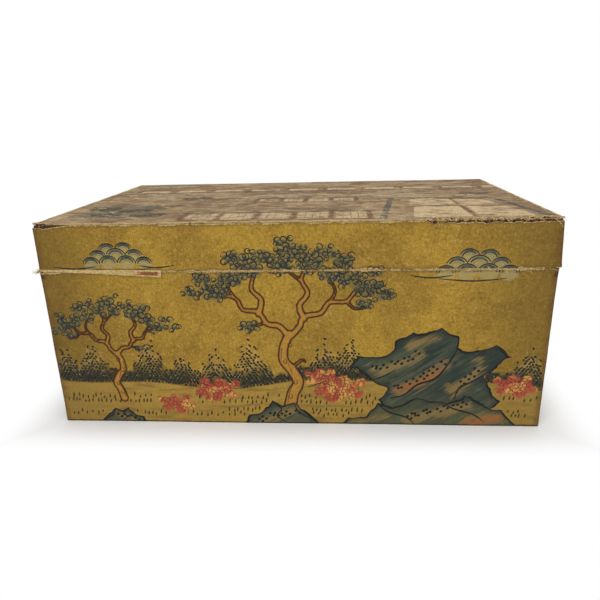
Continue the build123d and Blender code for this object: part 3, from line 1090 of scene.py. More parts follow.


# %% [markdown]
# ## Finishes for the hide
#
# The painted ground is a warm ochre with clouds of olive and brown, darker towards the
# corners. Painted shade darkens it along the hides' edges, and in part at the corner folds and
# at the foot of the walls. Over it lies a fine grain like cloth. Each painted wash is laid on
# from its distance, so its edge is as crisp as a brush left it.

# %% The wall finish


def aged_ground(f):
    """The gold ground with its stains. Gives its colour, its grain and its large and small clouds."""
    clouds = f.mottle(85, 5, 0.62, twist=0.5)
    small_clouds = f.mottle(13, 4, 0.65)
    speckle = f.mottle(3.0, 4, 0.8)
    threads_across = f.mottle(1.0, 2, 0.6, stretch=(0.25, 0.25, 1.1))
    threads_up = f.mottle(1.0, 2, 0.6, stretch=(0.9, 0.9, 0.3))
    grain = f.largest(threads_across, threads_up)
    colour = f.blend(f.rise(clouds, 0.38, 0.62), chart(166, 132, 46), chart(144, 112, 40))
    colour = f.blend(f.rise(small_clouds, 0.5, 0.72) * 0.45, colour, chart(178, 144, 64))
    colour = f.blend(f.rise(small_clouds, 0.47, 0.28) * 0.5, colour, chart(118, 92, 34))
    colour = f.blend(f.rise(grain, 0.5, 0.68) * 0.5, colour, chart(98, 74, 28))
    colour = f.blend(f.rise(speckle, 0.54, 0.68) * 0.6, colour, chart(88, 66, 26))
    colour = f.blend(f.rise(speckle, 0.46, 0.34) * 0.5, colour, chart(196, 164, 92))
    return colour, grain, clouds, small_clouds


def stone_colour(f, small_clouds, brush):
    """Blue-green stone that runs to olive low down, with brushy ochre lights."""
    slant = (-0.5, -0.6, 0)
    broad = f.mottle(46, 3, 0.55, stretch=(0.6, 0.6, 1), turn=slant, twist=0.6)
    drag = f.mottle(20, 4, 0.7, stretch=(0.3, 0.3, 3.4), turn=slant)
    hairs = f.mottle(8, 3, 0.7, stretch=(0.2, 0.2, 4), turn=slant)
    low_part = f.rise(f.place_z + (broad - 0.5) * 70, 48, 0)
    stone = f.blend(f.rise(broad, 0.36, 0.64), chart(42, 53, 48), chart(68, 76, 58))
    stone = f.blend(low_part * 0.6, stone, chart(96, 92, 62))
    stone = f.blend(f.rise(drag, 0.5, 0.66) * 0.4, stone, chart(104, 102, 76))
    stone = f.blend(f.rise(hairs, 0.5, 0.7) * 0.35, stone, chart(34, 42, 42))
    ochre = f.painted("ochre") + (drag - 0.5) * 42 + (hairs - 0.5) * 16
    stone = f.blend(f.rise(ochre, 5, -3) * 0.8, stone, chart(132, 110, 64))
    orange = f.painted("orange") + (drag - 0.5) * 34 + (hairs - 0.5) * 16
    stone = f.blend(f.rise(orange, 7, 0) * 0.75, stone, chart(122, 104, 62))
    stone = f.blend(f.rise(orange, 2, -4) * 0.85, stone, chart(146, 92, 50))
    return f.blend(f.rise(brush, 0.56, 0.72) * 0.3, stone, chart(34, 40, 38))


def wall_finish():
    """Painted hide for the walls of tray and lid."""
    f = Finish("painted hide")
    colour, grain, clouds, small_clouds = aged_ground(f)
    brush = f.mottle(5, 3, 0.6)
    fine = f.mottle(1.7, 3, 0.7)
    streaks = f.mottle(30, 4, 0.6, stretch=(0.6, 0.6, 4.0))
    to_corner = f.painted("to corner")
    dim = f.rise(to_corner + (clouds - 0.5) * 90, 120, -10)
    colour = f.blend(dim * 0.6, colour, chart(80, 62, 26))

    land = f.painted("land") + (brush - 0.5) * 2
    shore = f.painted("land")
    colour = f.blend(f.rise(land, 1.0, -1.5) * 0.5, colour, chart(158, 128, 64))
    dry_brush = f.rise(land, 1.0, -1.0) * f.rise(streaks, 0.48, 0.66)
    colour = f.blend(dry_brush * 0.65, colour, chart(116, 92, 46))
    shrub = f.painted("shrub") + (small_clouds - 0.5) * 14 + (brush - 0.5) * 5
    in_shrub = f.rise(shrub, 1.5, -4) * f.rise(land, -1, 1)
    colour = f.blend(in_shrub * f.rise(brush, 0.42, 0.62) * 0.45, colour, chart(176, 150, 96))
    root_dark = f.rise(shore + (small_clouds - 0.5) * 22, 36, 8)
    colour = f.blend(in_shrub * root_dark * 0.92, colour, chart(44, 47, 36))
    mound = f.painted("mound") + (brush - 0.5) * 2
    colour = f.blend(f.rise(mound, 0.8, -0.8) * 0.7, colour, chart(130, 90, 48))
    colour = f.blend(f.rise(abs(shore), 1.1, 0.4) * 0.5, colour, chart(72, 58, 34))

    stone = stone_colour(f, small_clouds, brush)
    rock_edge = f.painted("far rock") + (brush - 0.5) * 1.2
    rim_dark = f.rise(f.painted("far rock") + (small_clouds - 0.5) * 10, -10, 0) * 0.5
    colour = f.blend(f.rise(rock_edge, 0.4, -0.4), colour, f.blend(rim_dark, stone, chart(32, 40, 42)))
    bloom = f.painted("bloom") + (brush - 0.5) * 6
    petals = f.blend(f.rise(f.mottle(17, 2, 0.5), 0.47, 0.57), chart(164, 70, 54), chart(198, 144, 74))
    petals = f.blend(f.rise(brush, 0.55, 0.7) * 0.4, petals, chart(212, 170, 112))
    colour = f.blend(f.rise(bloom, 0.8, -0.8) * 0.9, colour, petals)
    bark = f.painted("bark") + (brush - 0.5) * 1.6
    wood = f.blend(f.rise(fine, 0.4, 0.65), chart(172, 128, 54), chart(150, 108, 44))
    wood = f.blend(f.rise(bark, -3.2, -0.8) * 0.5, wood, chart(126, 78, 34))
    colour = f.blend(f.rise(bark, 0.3, -0.3), colour, wood)
    colour = f.blend(f.rise(abs(bark), 1.35, 0.7) * 0.92, colour, chart(58, 32, 20))
    rock_edge = f.painted("near rock") + (brush - 0.5) * 1.2
    rim_dark = f.rise(f.painted("near rock") + (small_clouds - 0.5) * 10, -9, 0) * 0.45
    colour = f.blend(f.rise(rock_edge, 0.4, -0.4), colour, f.blend(rim_dark, stone, chart(40, 46, 42)))

    leaf = f.painted("leaf") + (brush - 0.5) * 9 + (small_clouds - 0.5) * 6
    colour = f.blend(f.rise(leaf, 1, -4) * 0.62, colour, chart(84, 86, 62))
    colour = f.blend(f.rise(leaf, 0, -4) * f.rise(brush, 0.52, 0.64) * 0.6, colour, chart(52, 60, 52))
    mist = f.painted("cloud") + (brush - 0.5) * 5 + (small_clouds - 0.5) * 5
    colour = f.blend(f.rise(mist, 1, -3) * 0.55, colour, chart(156, 146, 104))

    to_edge = f.painted("to edge")
    rub = f.rise(fine + f.rise(to_edge, 12, 0) * 0.14 + f.rise(to_corner, 9, 0) * 0.14, 0.72, 0.80)
    colour = f.blend(rub * 0.6, colour, chart(190, 164, 108))
    grime = f.rise(streaks + (small_clouds - 0.5) * 0.5, 0.60, 0.85)
    colour = f.blend(grime * 0.34, colour, chart(66, 50, 28))
    # Darker towards each upright corner and darkest at its fold: partly the hide's own worn brown, partly
    # painted shade where the hide turns round the corner.
    worn_and_shaded_corner = f.rise(to_corner + (small_clouds - 0.5) * 16, 11, 0)
    colour = f.blend(worn_and_shaded_corner * 0.6, colour, chart(88, 60, 24))
    colour = f.blend(f.rise(to_corner + (brush - 0.5) * 6, 2.5, 0) * 0.75, colour, chart(54, 34, 18))
    # Darker in a band about 6 mm under the seam, near the upright corners.
    under_seam = f.rise(abs(f.place_z - seam + 6) + (brush - 0.5) * 5, 4, 1.5)
    dark_below_seam = f.rise(to_corner + (brush - 0.5) * 9, 9, 3) * under_seam
    colour = f.blend(dark_below_seam * 0.85, colour, chart(58, 32, 18))
    # A dark line along the foot of each wall: partly the hide's dark edge, partly a painted contact shadow
    # where the chest stands on the floor.
    foot_line_and_contact_shadow = f.rise(f.place_z + (brush - 0.5) * 2.4, 2.6, 1.2)
    colour = f.blend(foot_line_and_contact_shadow * 0.8, colour, chart(58, 44, 28))
    patches = f.mottle(22, 3, 0.7)
    fray = f.rise(to_edge + (fine - 0.5) * 5 + (patches - 0.5) * 9, 1.3, 0.6)
    # A darker band along every edge of a hide: painted shade beside the raised, frayed lips at the seam and
    # at the lid's upper edge.
    colour = f.blend(f.rise(to_edge + (patches - 0.5) * 10, 5.0, 1.0) * 0.5, colour, chart(84, 62, 30))
    arris = f.rise(to_corner + (brush - 0.5) * 16 + (fine - 0.5) * 6, -1.4, -2.6)
    bare = f.largest(fray, arris)
    flesh = f.blend(f.rise(fine, 0.35, 0.65), chart(198, 174, 122), chart(150, 120, 74))
    colour = f.blend(bare * 0.9, colour, flesh)

    height = grain * 0.6 + fine * 0.5 + bare * 0.8
    rough = 0.66 + bare * 0.25 + (small_clouds - 0.5) * 0.3
    return f.close(colour, rough, height, 0.5, 0.0005, gloss=0.14)


def flesh_finish():
    """Raw hide, as at a cut or torn edge: pale, dry and stringy."""
    f = Finish("raw hide edge")
    strings = f.mottle(1.2, 3, 0.7, stretch=(0.4, 0.4, 2))
    soil = f.mottle(9, 3, 0.6)
    colour = f.blend(f.rise(strings, 0.35, 0.65), chart(196, 172, 120), chart(140, 108, 66))
    colour = f.blend(f.rise(soil, 0.5, 0.72) * 0.6, colour, chart(104, 74, 44))
    return f.close(colour, 0.9, strings, 0.6, 0.0004, gloss=0.15)


# %% The faded top finish


def top_finish():
    """The rubbed painting on the top."""
    f = Finish("painted hide, rubbed")
    clouds = f.mottle(80, 5, 0.62, twist=0.6)
    small_clouds = f.mottle(16, 4, 0.68)
    streaks = f.mottle(24, 4, 0.7, stretch=(0.7, 1.6, 1))
    hairs = f.mottle(12, 4, 0.75, stretch=(0.55, 1.2, 1))
    fine = f.mottle(1.6, 3, 0.7)
    threads = f.largest(f.mottle(1, 2, 0.6, (1.0, 0.2, 1)), f.mottle(1, 2, 0.6, (0.2, 1.0, 1)))
    colour = f.blend(f.rise(clouds, 0.38, 0.62), chart(170, 144, 108), chart(136, 110, 82))
    colour = f.blend(f.rise(small_clouds, 0.5, 0.68) * 0.6, colour, chart(190, 164, 122))
    colour = f.blend(f.rise(streaks, 0.5, 0.66) * 0.7, colour, chart(98, 74, 52))
    colour = f.blend(f.rise(streaks, 0.42, 0.28) * 0.6, colour, chart(184, 160, 120))
    for wash, tint, strength in (
        ("far rock", chart(84, 86, 74), 0.75),
        ("leaf", chart(86, 90, 68), 0.6),
        ("cloud", chart(180, 172, 148), 0.75),
        ("panel", chart(212, 186, 144), 0.95),
        ("post", chart(108, 68, 48), 0.85),
        ("beam", chart(66, 78, 74), 0.9),
    ):
        edge = f.painted(wash) + (small_clouds - 0.5) * 4 + (fine - 0.5) * 2
        worn = f.rise(small_clouds + (streaks - 0.5) * 0.8, 0.80, 0.40)
        colour = f.blend(f.rise(edge, 0.7, -0.7) * worn * strength, colour, tint)
    colour = f.blend(f.rise(hairs, 0.52, 0.64) * 0.68, colour, chart(92, 70, 50))
    colour = f.blend(f.rise(hairs, 0.46, 0.34) * 0.6, colour, chart(206, 184, 146))
    colour = f.blend(f.rise(threads, 0.5, 0.7) * 0.6, colour, chart(102, 80, 56))
    to_edge = f.painted("to edge")
    rub = f.rise(fine + f.rise(to_edge, 18, 0) * 0.16, 0.66, 0.78)
    colour = f.blend(rub * 0.55, colour, chart(200, 178, 134))
    patches = f.mottle(20, 4, 0.75)
    colour = f.blend(f.rise(to_edge + (patches - 0.5) * 16, 9, 3) * 0.5, colour, chart(112, 84, 52))
    fray = f.rise(to_edge + (fine - 0.5) * 6 + (patches - 0.5) * 14, 3.4, 2.0)
    colour = f.blend(fray * 0.9, colour, chart(206, 184, 136))
    height = threads * 0.5 + fine * 0.6 + fray
    return f.close(colour, 0.78 + (small_clouds - 0.5) * 0.2, height, 0.5, 0.0005, gloss=0.14)


# %% Paint finishes


def ink_finish(name, full, thin, ground=(146, 116, 52), wear=0.68):
    """A brush paint that runs from full to thin and has rubbed off here and there."""
    f = Finish(name)
    load = f.mottle(4, 2, 0.6)
    fine = f.mottle(1.7, 3, 0.7)
    small_clouds = f.mottle(14, 4, 0.65)
    colour = f.blend(f.rise(load, 0.42, 0.68), chart(*full), chart(*thin))
    gone = f.rise(fine + (small_clouds - 0.5) * 0.4, wear, wear + 0.08)
    colour = f.blend(gone * 0.75, colour, chart(*ground))
    return f.close(colour, 0.65, fine, 0.2, 0.0003, gloss=0.25)


paints = {
    "leaf ink": ink_finish("leaf ink", (32, 36, 34), (58, 58, 46)),
    "leaf blue": ink_finish("leaf blue", (54, 68, 66), (84, 92, 78)),
    "leaf light": ink_finish("leaf light", (150, 136, 88), (126, 116, 74)),
    "bloom line": ink_finish("blossom line", (116, 50, 36), (146, 80, 48), (176, 122, 70)),
    "stipple ink": ink_finish("stipple ink", (26, 29, 27), (48, 50, 42)),
    "moss ink": ink_finish("moss ink", (22, 26, 26), (40, 44, 38), (60, 64, 54)),
    "stipple light": ink_finish("stipple light", (158, 142, 96), (128, 118, 78)),
    "grass ink": ink_finish("grass ink", (48, 46, 28), (78, 70, 40)),
    "bark ink": ink_finish("bark ink", (58, 32, 20), (84, 48, 28), (146, 102, 50)),
    "rock ink": ink_finish("rock ink", (20, 22, 22), (38, 40, 36), (60, 64, 54)),
    "dab cream": ink_finish("dab cream", (202, 182, 142), (172, 148, 110), (140, 114, 82), 0.56),
    "dab dark": ink_finish("dab dark", (70, 74, 66), (98, 92, 74), (140, 114, 82), 0.56),
    "dab red": ink_finish("dab red", (120, 78, 58), (140, 104, 76), (150, 124, 90), 0.56),
    "fence line": ink_finish("fence line", (104, 76, 56), (136, 108, 80), (172, 146, 108), 0.58),
}

# %% [markdown]
# ## Wrap the hides
#
# Nine skins cover the chest: four round the tray, four round the lid and one over the top. The
# long ones turn the corners and the short ones lie between them, so no seam falls on an arris,
# where it would wear open. Each skin takes the place of one plain sheet in the frame.

# %% Make the nine hides
painted_hide = wall_finish()
rubbed_hide = top_finish()
raw_edge = flesh_finish()
hide_pitch = 1.8


def bites(seed, size, rounded_off=0.0):
    """An edge that is nibbled away by up to about a size, and rounded off at the chest's corners."""

    def bite(u, plan):
        to_arris = np.abs(np.hypot(*(np.abs(plan) - (half_length, half_depth)).T))
        return size * ripple(u, 21, seed) + rounded_off * np.clip(1 - to_arris / nibbled_band, 0, 1)

    return bite


def torn_front(u, plan):
    """The tear along the upper edge of the lid's front, which dies out round the corners."""
    return torn_down(u) * np.clip((half_length + 14 - np.abs(u)) / 10, 0, 1)


arc_past_corner = corner * math.pi / 2 - corner
long_reach = half_length + wrap - corner + arc_past_corner
end_reach = half_depth - wrap
for index, name in enumerate(("front", "right", "back", "left")):
    reach = long_reach if name in ("front", "back") else end_reach
    tray_edges = [(seam, -1.0, bites(10.0 + index, 1.0, 1.6))]
    upper = torn_front if name == "front" else bites(30.0 + index, 1.0)
    lid_edges = [(seam, 1.0, bites(20.0 + index, 0.8, 2.2)), (wall_top, -1.0, upper)]
    finishes = [painted_hide, raw_edge]
    made = wall_hide(f"tray_{name}_skin", index, 0.0, seam, reach, hide_pitch, tray_edges, finishes)
    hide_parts(f"tray_{name}_hide")
    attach(made, "tray")
    made = wall_hide(f"lid_{name}_skin", index, seam, wall_top, reach, hide_pitch, lid_edges, finishes)
    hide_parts(f"lid_{name}_hide")
    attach(made, "lid")
skin = top_skin("lid_top_skin", 2.4, [rubbed_hide, raw_edge])
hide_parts("lid_top_hide")
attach(skin, "lid")

# %% [markdown]
# ## Press the paint on
#
# Every touch of the brush becomes a short spline with a width at each point. Blender bevels
# all splines of one paint at once, `bisect_plane` cuts the result along the seam, and the
# vertices are pressed onto the hide, where they stand out by a fifth of a millimetre or so.

# %% From strokes to thin relief
paint_relief = 0.2
paint_lift = 0.03


def beveled(name, strokes, kind="2D"):
    """All strokes as one mesh, in the sheet's own millimetres."""
    curve = bpy.data.curves.new(name, "CURVE")
    curve.dimensions = kind
    curve.fill_mode = "NONE" if kind == "2D" else "FULL"
    curve.bevel_depth = 1.0
    curve.bevel_resolution = 0
    curve.use_fill_caps = True
    for points, half_widths in strokes:
        spline = curve.splines.new("POLY")
        spline.points.add(len(points) - 1)
        full = np.zeros((len(points), 4))
        full[:, : points.shape[1]] = points
        full[:, 3] = 1
        spline.points.foreach_set("co", full.ravel())
        spline.points.foreach_set("radius", half_widths)
    holder = bpy.data.objects.new(name, curve)
    mesh = bpy.data.meshes.new_from_object(holder)
    bpy.data.objects.remove(holder)
    return mesh


def cut_between(mesh, name, low, high):
    """A copy of a flat mesh that keeps only what lies between two heights, closed at the cuts."""
    work = bmesh.new()
    work.from_mesh(mesh)
    for level, keep_above in ((low, True), (high, False)):
        everything = work.verts[:] + work.edges[:] + work.faces[:]
        away = (0, -1, 0) if keep_above else (0, 1, 0)
        bmesh.ops.bisect_plane(
            work, geom=everything, dist=1e-5, plane_co=(0, level, 0), plane_no=away, clear_outer=True
        )
        rims = [edge for edge in work.edges if edge.is_boundary]
        bmesh.ops.holes_fill(work, edges=rims, sides=0)
    made = bpy.data.meshes.new(name)
    work.to_mesh(made)
    work.free()
    return made


def press(mesh, side):
    """Moves a flat mesh onto its side of the chest, and flattens it to the relief of paint."""
    flat = np.zeros(len(mesh.vertices) * 3)
    mesh.vertices.foreach_get("co", flat)
    flat = flat.reshape(-1, 3)
    places = np.outer(flat[:, 0], side.right) + np.outer(flat[:, 1], side.up) + side.normal * side.reach
    stand = top_swell(places) if side is top else swell(places)
    places += np.outer(stand + paint_lift + paint_relief * np.tanh(flat[:, 2]), side.normal)
    mesh.vertices.foreach_set("co", (places * MM).ravel())


def show(mesh, name, finish, body):
    """Puts a finished mesh in the scene and lets it ride on a body."""
    mesh.materials.clear()
    mesh.materials.append(finish)
    mesh.polygons.foreach_set("use_smooth", [True] * len(mesh.polygons))
    piece = bpy.data.objects.new(name, mesh)
    bpy.context.scene.collection.objects.link(piece)
    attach(piece, body)
    return piece


# Paint stops a little short of the frayed edges, so each body carries it between two levels.
wall_parts = [("tray", 0.8, seam - 1.4), ("lid", seam + 1.2, wall_top - 2.2)]
top_parts = [("lid", -half_depth + 4, half_depth - 3)]
triangle_count = 0
for side in walls + [top]:
    for paint, strokes in side.strokes.items():
        flat_mesh = beveled(f"{side.name} {paint}", strokes)
        for body, low, high in top_parts if side is top else wall_parts:
            name = f"{side.name}_{body}_{paint.replace(' ', '_')}"
            mesh = cut_between(flat_mesh, name, low, high)
            if len(mesh.polygons):
                press(mesh, side)
                show(mesh, name, paints[paint], body)
                triangle_count += sum(len(p.vertices) - 2 for p in mesh.polygons)
print("triangles of paint:", triangle_count)

# %% [markdown]
# ## Torn edges
#
# Hide is a felt of fibres, and where it tears they stand out as pale hairs. They are drawn
# as thin curves in space: they start inside the torn edge, wander, and droop a little.

# %% Fibres along an edge


def fibre(start, ahead_way, length, thickness, droop=0.3, wander=0.5, steps=6):
    """One hair of torn hide."""
    points = [np.array(start, float)]
    way = np.array(ahead_way, float)
    for _ in range(steps - 1):
        way = way / np.linalg.norm(way)
        points.append(points[-1] + way * length / (steps - 1))
        way = way + chance.normal(0, wander, 3) - np.array((0, 0, droop / steps))
    widths = thickness / 2 * np.linspace(1.0, 0.45, steps)
    return np.array(points), widths


def fringe(count, place, way, longest, thickness=0.34):
    """Fibres at random places along an edge."""
    hairs = []
    for _ in range(count):
        start = place(chance.uniform(-1, 1))
        out = np.array(way) + chance.normal(0, 0.75, 3)
        long = longest * chance.uniform(0.25, 1.0) ** 1.6
        hairs.append(fibre(start, out, long, thickness * chance.uniform(0.6, 1.2)))
    return hairs


def fibre_finish():
    """Pale hair of torn hide, mottled with brown."""
    f = Finish("hide fibre")
    shade = f.mottle(6, 2, 0.6)
    colour = f.blend(f.rise(shade, 0.4, 0.65), chart(214, 194, 148), chart(160, 128, 80))
    return f.close(colour, 0.9, shade, 0.1, 0.0002, gloss=0.2)


hair = fibre_finish()


def hang(name, hairs, body):
    """Puts many hairs in the scene as one piece."""
    mesh = beveled(name, hairs, "3D")
    mesh.transform(Matrix.Scale(MM, 4))
    return show(mesh, name, hair, body)


# %% [markdown]
# ## The torn tongue
#
# At the left of the seam a strip of the lid's hide has split off and hangs down. It is a narrow
# grid like the skins, bowed away from the wall and given its thickness in the same way. Its
# finish reads how far along and how far down the strip a point lies, to colour the open end.

# %% Hang the tongue
strip_start = -half_length - 1.5
strip_stop = -152.0


def lifted_strip():
    """A torn tongue of hide that hangs from the lid's lower edge, and opens towards its right end."""
    mesh, flat = flat_grid("lifted_strip", 180, 8)
    share, down = flat[:, 0] + 0.5, 0.5 - flat[:, 1]
    a = strip_start + share * (strip_stop - strip_start)
    drop = 2.2 + 6.2 * share**1.3 + 1.0 * ripple(a, 9, 41.0)
    z = seam + 1.8 + 1.6 * (1 - share) - down * drop + 0.5 * ripple(a, 25, 42.0)
    bowed = 1.3 + 2.2 * share * down**1.6 + 0.5 * ripple(a, 12, 43.0)
    places = np.column_stack([a, -half_depth - bowed, z])
    mesh.vertices.foreach_set("co", (places * MM).ravel())
    set_attribute(mesh, "share", share)
    set_attribute(mesh, "down", down)
    set_flat_map(mesh, flat)
    return thicken(mesh, "lifted_strip", 0.7, [strip_finish(), raw_edge])


def strip_finish():
    """The tongue: pale split hide with a red-brown core where its right end has opened."""
    f = Finish("split hide")
    fine = f.mottle(1.6, 3, 0.7)
    smear = f.mottle(7, 3, 0.65, stretch=(0.35, 1, 1.4))
    share, down = f.painted("share"), f.painted("down")
    colour = f.blend(f.rise(fine, 0.35, 0.65), chart(200, 176, 124), chart(158, 128, 80))
    colour = f.blend(f.rise(smear, 0.52, 0.7) * 0.6, colour, chart(132, 96, 56))
    core = f.rise(share + (smear - 0.5) * 0.1, 0.78, 0.84) * f.rise(share, 0.985, 0.965)
    core = core * f.rise(down + (smear - 0.5) * 0.3, 0.18, 0.3) * f.rise(down, 0.84, 0.72) * 0.9
    core_colour = f.blend(f.rise(fine, 0.4, 0.6), chart(132, 74, 42), chart(92, 50, 30))
    colour = f.blend(core, colour, core_colour)
    return f.close(colour, 0.88, fine + smear * 0.5, 0.5, 0.0005, gloss=0.15)


strip = lifted_strip()
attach(strip, "lid")

# %% [markdown]
# ## Fringes
#
# Each edge is a function from a share, -1 to 1, to a place on it, and `fringe` roots its hairs
# there. All hairs of the upper edge make one piece, and so do all hairs of the seam. Both ride
# on the lid, as hide stuck to it would.

# %% Root the fibres


def along_front_top(share):
    return (share * (half_length - 4), -half_depth - 0.3, wall_top + 0.9)


def along_tear(share):
    middle = (tear_start + half_length) / 2
    return (middle + share * (half_length - tear_start) / 2 - 2, -half_depth + 0.8, wall_top + 0.8)


def along_seam(share):
    return (share * (half_length - 3), -half_depth - 0.9, seam)


def at_strip_end(share):
    return (-half_length + 1.0 + 2.0 * share, -half_depth - 1.6, seam + 1.0 + 1.2 * share)


def at_flap(share):
    return (236.0 + 26.0 * share, -half_depth + 1.5, chest_top + 0.6)


def at_tongue(share):
    return (168.0 + 5.0 * share, -half_depth - 0.2, wall_top + 0.3)


def along_right_seam(share):
    return (262.0 + 36.0 * share, -half_depth - 1.4, seam + 0.6)


hairs = fringe(340, along_front_top, (0.2, -1.0, 0.1), 6.0)
hairs += fringe(14, at_flap, (0.3, -0.7, 0.3), 9.0, 0.6)
hairs += fringe(170, along_tear, (0.4, -0.9, 0.3), 8.0, 0.5)
hairs += fringe(90, along_tear, (0.1, -0.5, -0.4), 4.5, 1.1)
hairs += fringe(12, at_tongue, (0.5, -0.5, -0.7), 9.0, 1.1)
hairs += [fibre((286.0, -half_depth - 0.5, wall_top + 1.5), (0.9, -0.3, -0.35), 15.0, 1.0, 0.5, 0.2)]
hang("front_top_fringe", hairs, "lid")
hairs = fringe(240, along_seam, (0.3, -0.8, -0.2), 5.0, 0.4)
hairs += fringe(40, at_strip_end, (-1.0, -0.4, 0.0), 9.0, 0.5)
hairs += fringe(14, along_right_seam, (0.3, -0.5, 0.4), 13.0, 0.7)
hairs += [fibre((224.0, -half_depth - 1.0, seam + 0.4), (-0.5, -0.4, 0.9), 8.0, 1.0, 0.3, 0.2)]
hairs += [fibre((222.0, -half_depth - 1.0, seam + 1.4), (0.8, -0.3, -0.5), 7.0, 0.9, 0.3, 0.3)]
hang("seam_fringe", hairs, "lid")

# %% [markdown]
# ## Wood, bamboo and paper
#
# These show when the lid is off. The boards' outer faces carry a red-brown ground coat under
# the hide, and it shows wherever the hide has torn.

# %% Finishes for the frame's own pieces


def wood_finish(name, early, late, way, coat=True):
    """Planed softwood with its grain along one axis."""
    f = Finish(name)
    stretch = {"x": (0.05, 1, 1), "y": (1, 0.05, 1), "z": (1, 1, 0.05)}[way]
    rings = f.mottle(9, 3, 0.55, stretch=stretch, twist=1.2)
    pores = f.mottle(1.3, 2, 0.6, stretch=stretch)
    soil = f.mottle(50, 3, 0.6)
    colour = f.blend(f.rise(rings, 0.42, 0.6), chart(*early), chart(*late))
    colour = f.blend(f.rise(pores, 0.5, 0.75) * 0.4, colour, chart(*(part * 0.6 for part in late)))
    colour = f.blend(f.rise(soil, 0.45, 0.75) * 0.35, colour, chart(96, 70, 44))
    if coat:
        past_end = abs(f.place_x) - half_length + hide
        past_side = abs(f.place_y) - half_depth + hide
        outside = f.largest(f.largest(past_end, past_side), f.place_z - wall_top) + 0.4
        lacquer = f.blend(f.rise(pores, 0.4, 0.7), chart(80, 44, 28), chart(42, 26, 18))
        colour = f.blend(f.rise(outside, -0.1, 0.1), colour, lacquer)
    return f.close(colour, 0.72, pores + rings * 0.5, 0.3, 0.0004, gloss=0.3)


def paper_finish():
    """Lining paper, stained and foxed."""
    f = Finish("lining paper")
    fibres = f.mottle(0.9, 3, 0.7)
    foxing = f.mottle(11, 3, 0.65)
    stains = f.mottle(120, 4, 0.6)
    wrinkles = f.mottle(26, 3, 0.55, stretch=(1, 1, 0.5), twist=0.4)
    colour = f.blend(f.rise(stains, 0.4, 0.75), chart(208, 188, 146), chart(188, 162, 118))
    colour = f.blend(f.rise(foxing, 0.64, 0.74) * 0.6, colour, chart(140, 96, 56))
    colour = f.blend(f.rise(fibres, 0.5, 0.8) * 0.3, colour, chart(224, 206, 168))
    return f.close(colour, 0.88, wrinkles + fibres * 0.2, 0.25, 0.0008, gloss=0.2)


def underside_finish():
    """Unpainted hide on the underside, rubbed dark."""
    f = Finish("plain hide")
    clouds = f.mottle(45, 4, 0.6)
    grain = f.mottle(1.4, 3, 0.65)
    scuffs = f.mottle(22, 3, 0.6, stretch=(0.3, 3, 1), turn=(0, 0, 0.4))
    colour = f.blend(f.rise(clouds, 0.4, 0.68), chart(104, 72, 44), chart(76, 52, 34))
    colour = f.blend(f.rise(scuffs, 0.6, 0.75) * 0.6, colour, chart(140, 108, 72))
    return f.close(colour, 0.7, grain, 0.5, 0.0005, gloss=0.3)


board_along = wood_finish("softwood, long boards", (196, 162, 112), (166, 126, 78), "x")
board_across = wood_finish("softwood, end boards", (192, 158, 108), (160, 120, 74), "y")
lip_along = wood_finish("lip wood, long strips", (150, 112, 70), (118, 82, 48), "x", coat=False)
lip_across = wood_finish("lip wood, short strips", (150, 112, 70), (118, 82, 48), "y", coat=False)
bamboo = wood_finish("bamboo", (206, 178, 118), (176, 144, 88), "z", coat=False)
paper = paper_finish()
plain_hide = underside_finish()

for name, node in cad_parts.items():
    across = "left" in name or "right" in name
    if name.endswith("_paper"):
        finish = paper
    elif name.endswith(("_pegs", "_pins")):
        finish = bamboo
    elif name.startswith("lip_strip"):
        finish = lip_across if across else lip_along
    elif name == "tray_underside_hide":
        finish = plain_hide
    else:
        finish = board_across if across else board_along
    node.data.materials.clear()
    node.data.materials.append(finish)

# %% [markdown]
# ## Floor and light
#
# A studio: a pale floor that runs out to white, a large soft lamp high at the front left, a
# weaker one low at the front right, and one above. The white behind the chest is there for the
# camera alone, and the white of the floor for the camera and for reflections.

# %% Floor, world and lamps
scene = bpy.context.scene
scene.view_settings.view_transform = "Standard"
# The floor keeps its shadow this far from the chest, in millimetres.
shadow_reach = 70.0


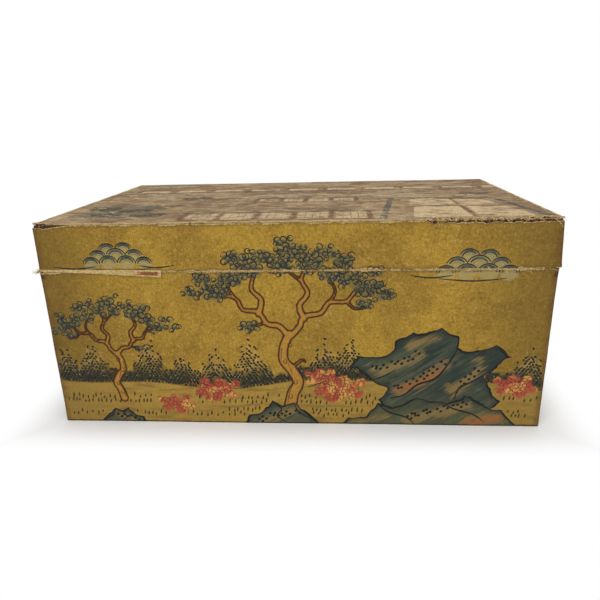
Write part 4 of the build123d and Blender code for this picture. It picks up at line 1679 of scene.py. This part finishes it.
def ring_floor():
    """A round floor that keeps the shadow near the chest and runs out to plain white."""
    work = bmesh.new()
    bmesh.ops.create_circle(work, cap_ends=True, segments=64, radius=6.0)
    mesh = bpy.data.meshes.new("floor")
    work.to_mesh(mesh)
    work.free()
    floor = bpy.data.objects.new("floor", mesh)
    scene.collection.objects.link(floor)
    f = Finish("studio floor")
    from_chest = f.largest(abs(f.place_x) - half_length, abs(f.place_y) - half_depth)
    far = f.rise(from_chest, 4, shadow_reach)
    path = f.node("ShaderNodeLightPath", out="Is Camera Ray")
    glossy = f.node("ShaderNodeLightPath", out="Is Glossy Ray")
    paper_white = f.node("ShaderNodeEmission", {}, {"Color": (1, 1, 1, 1), "Strength": 1.0})
    matt = f.node("ShaderNodeBsdfDiffuse", {}, {"Color": (0.93, 0.93, 0.93, 1)})
    seen = f.smallest(path + glossy, 1.0) * far
    mixed = f.node("ShaderNodeMixShader", {}, {0: seen, 1: matt, 2: paper_white})
    f.node("ShaderNodeOutputMaterial", {}, {"Surface": mixed})
    mesh.materials.append(f.material)
    floor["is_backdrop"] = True


ring_floor()

world = bpy.data.worlds.new("studio")
scene.world = world
world.use_nodes = True
tree_nodes, links = world.node_tree.nodes, world.node_tree.links
tree_nodes.clear()
soft_light = tree_nodes.new("ShaderNodeBackground")
soft_light.inputs["Color"].default_value = (1, 1, 1, 1)
soft_light.inputs["Strength"].default_value = 0.55
white_wall = tree_nodes.new("ShaderNodeBackground")
white_wall.inputs["Color"].default_value = (1, 1, 1, 1)
path = tree_nodes.new("ShaderNodeLightPath")
pick = tree_nodes.new("ShaderNodeMixShader")
output = tree_nodes.new("ShaderNodeOutputWorld")
links.new(path.outputs["Is Camera Ray"], pick.inputs[0])
links.new(soft_light.outputs[0], pick.inputs[1])
links.new(white_wall.outputs[0], pick.inputs[2])
links.new(pick.outputs[0], output.inputs["Surface"])


def lamp(name, place, aim, side_m, watts):
    """A square soft lamp that points at a place."""
    data = bpy.data.lights.new(name, "AREA")
    data.size = side_m
    data.energy = watts
    made = bpy.data.objects.new(name, data)
    made.location = place
    made.rotation_euler = (Vector(aim) - Vector(place)).to_track_quat("-Z", "Y").to_euler()
    scene.collection.objects.link(made)
    print("lamp", name, "gives", watts, "W")


lamp("key", (-0.7, -1.8, 1.7), (0, 0, 0.1), 1.4, 19)
lamp("fill", (1.3, -1.5, 0.9), (0, 0, 0.1), 1.2, 8)
lamp("top", (0.1, 0.5, 2.2), (0, 0, 0.2), 1.6, 14)

# %% Measure and finish
low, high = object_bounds()
proud_high = [round((a - b) / MM, 2) for a, b in zip(high, cad_high)]
proud_low = [round((b - a) / MM, 2) for a, b in zip(low, cad_low)]
print("stands proud of the frame by, mm:", proud_high, proud_low)
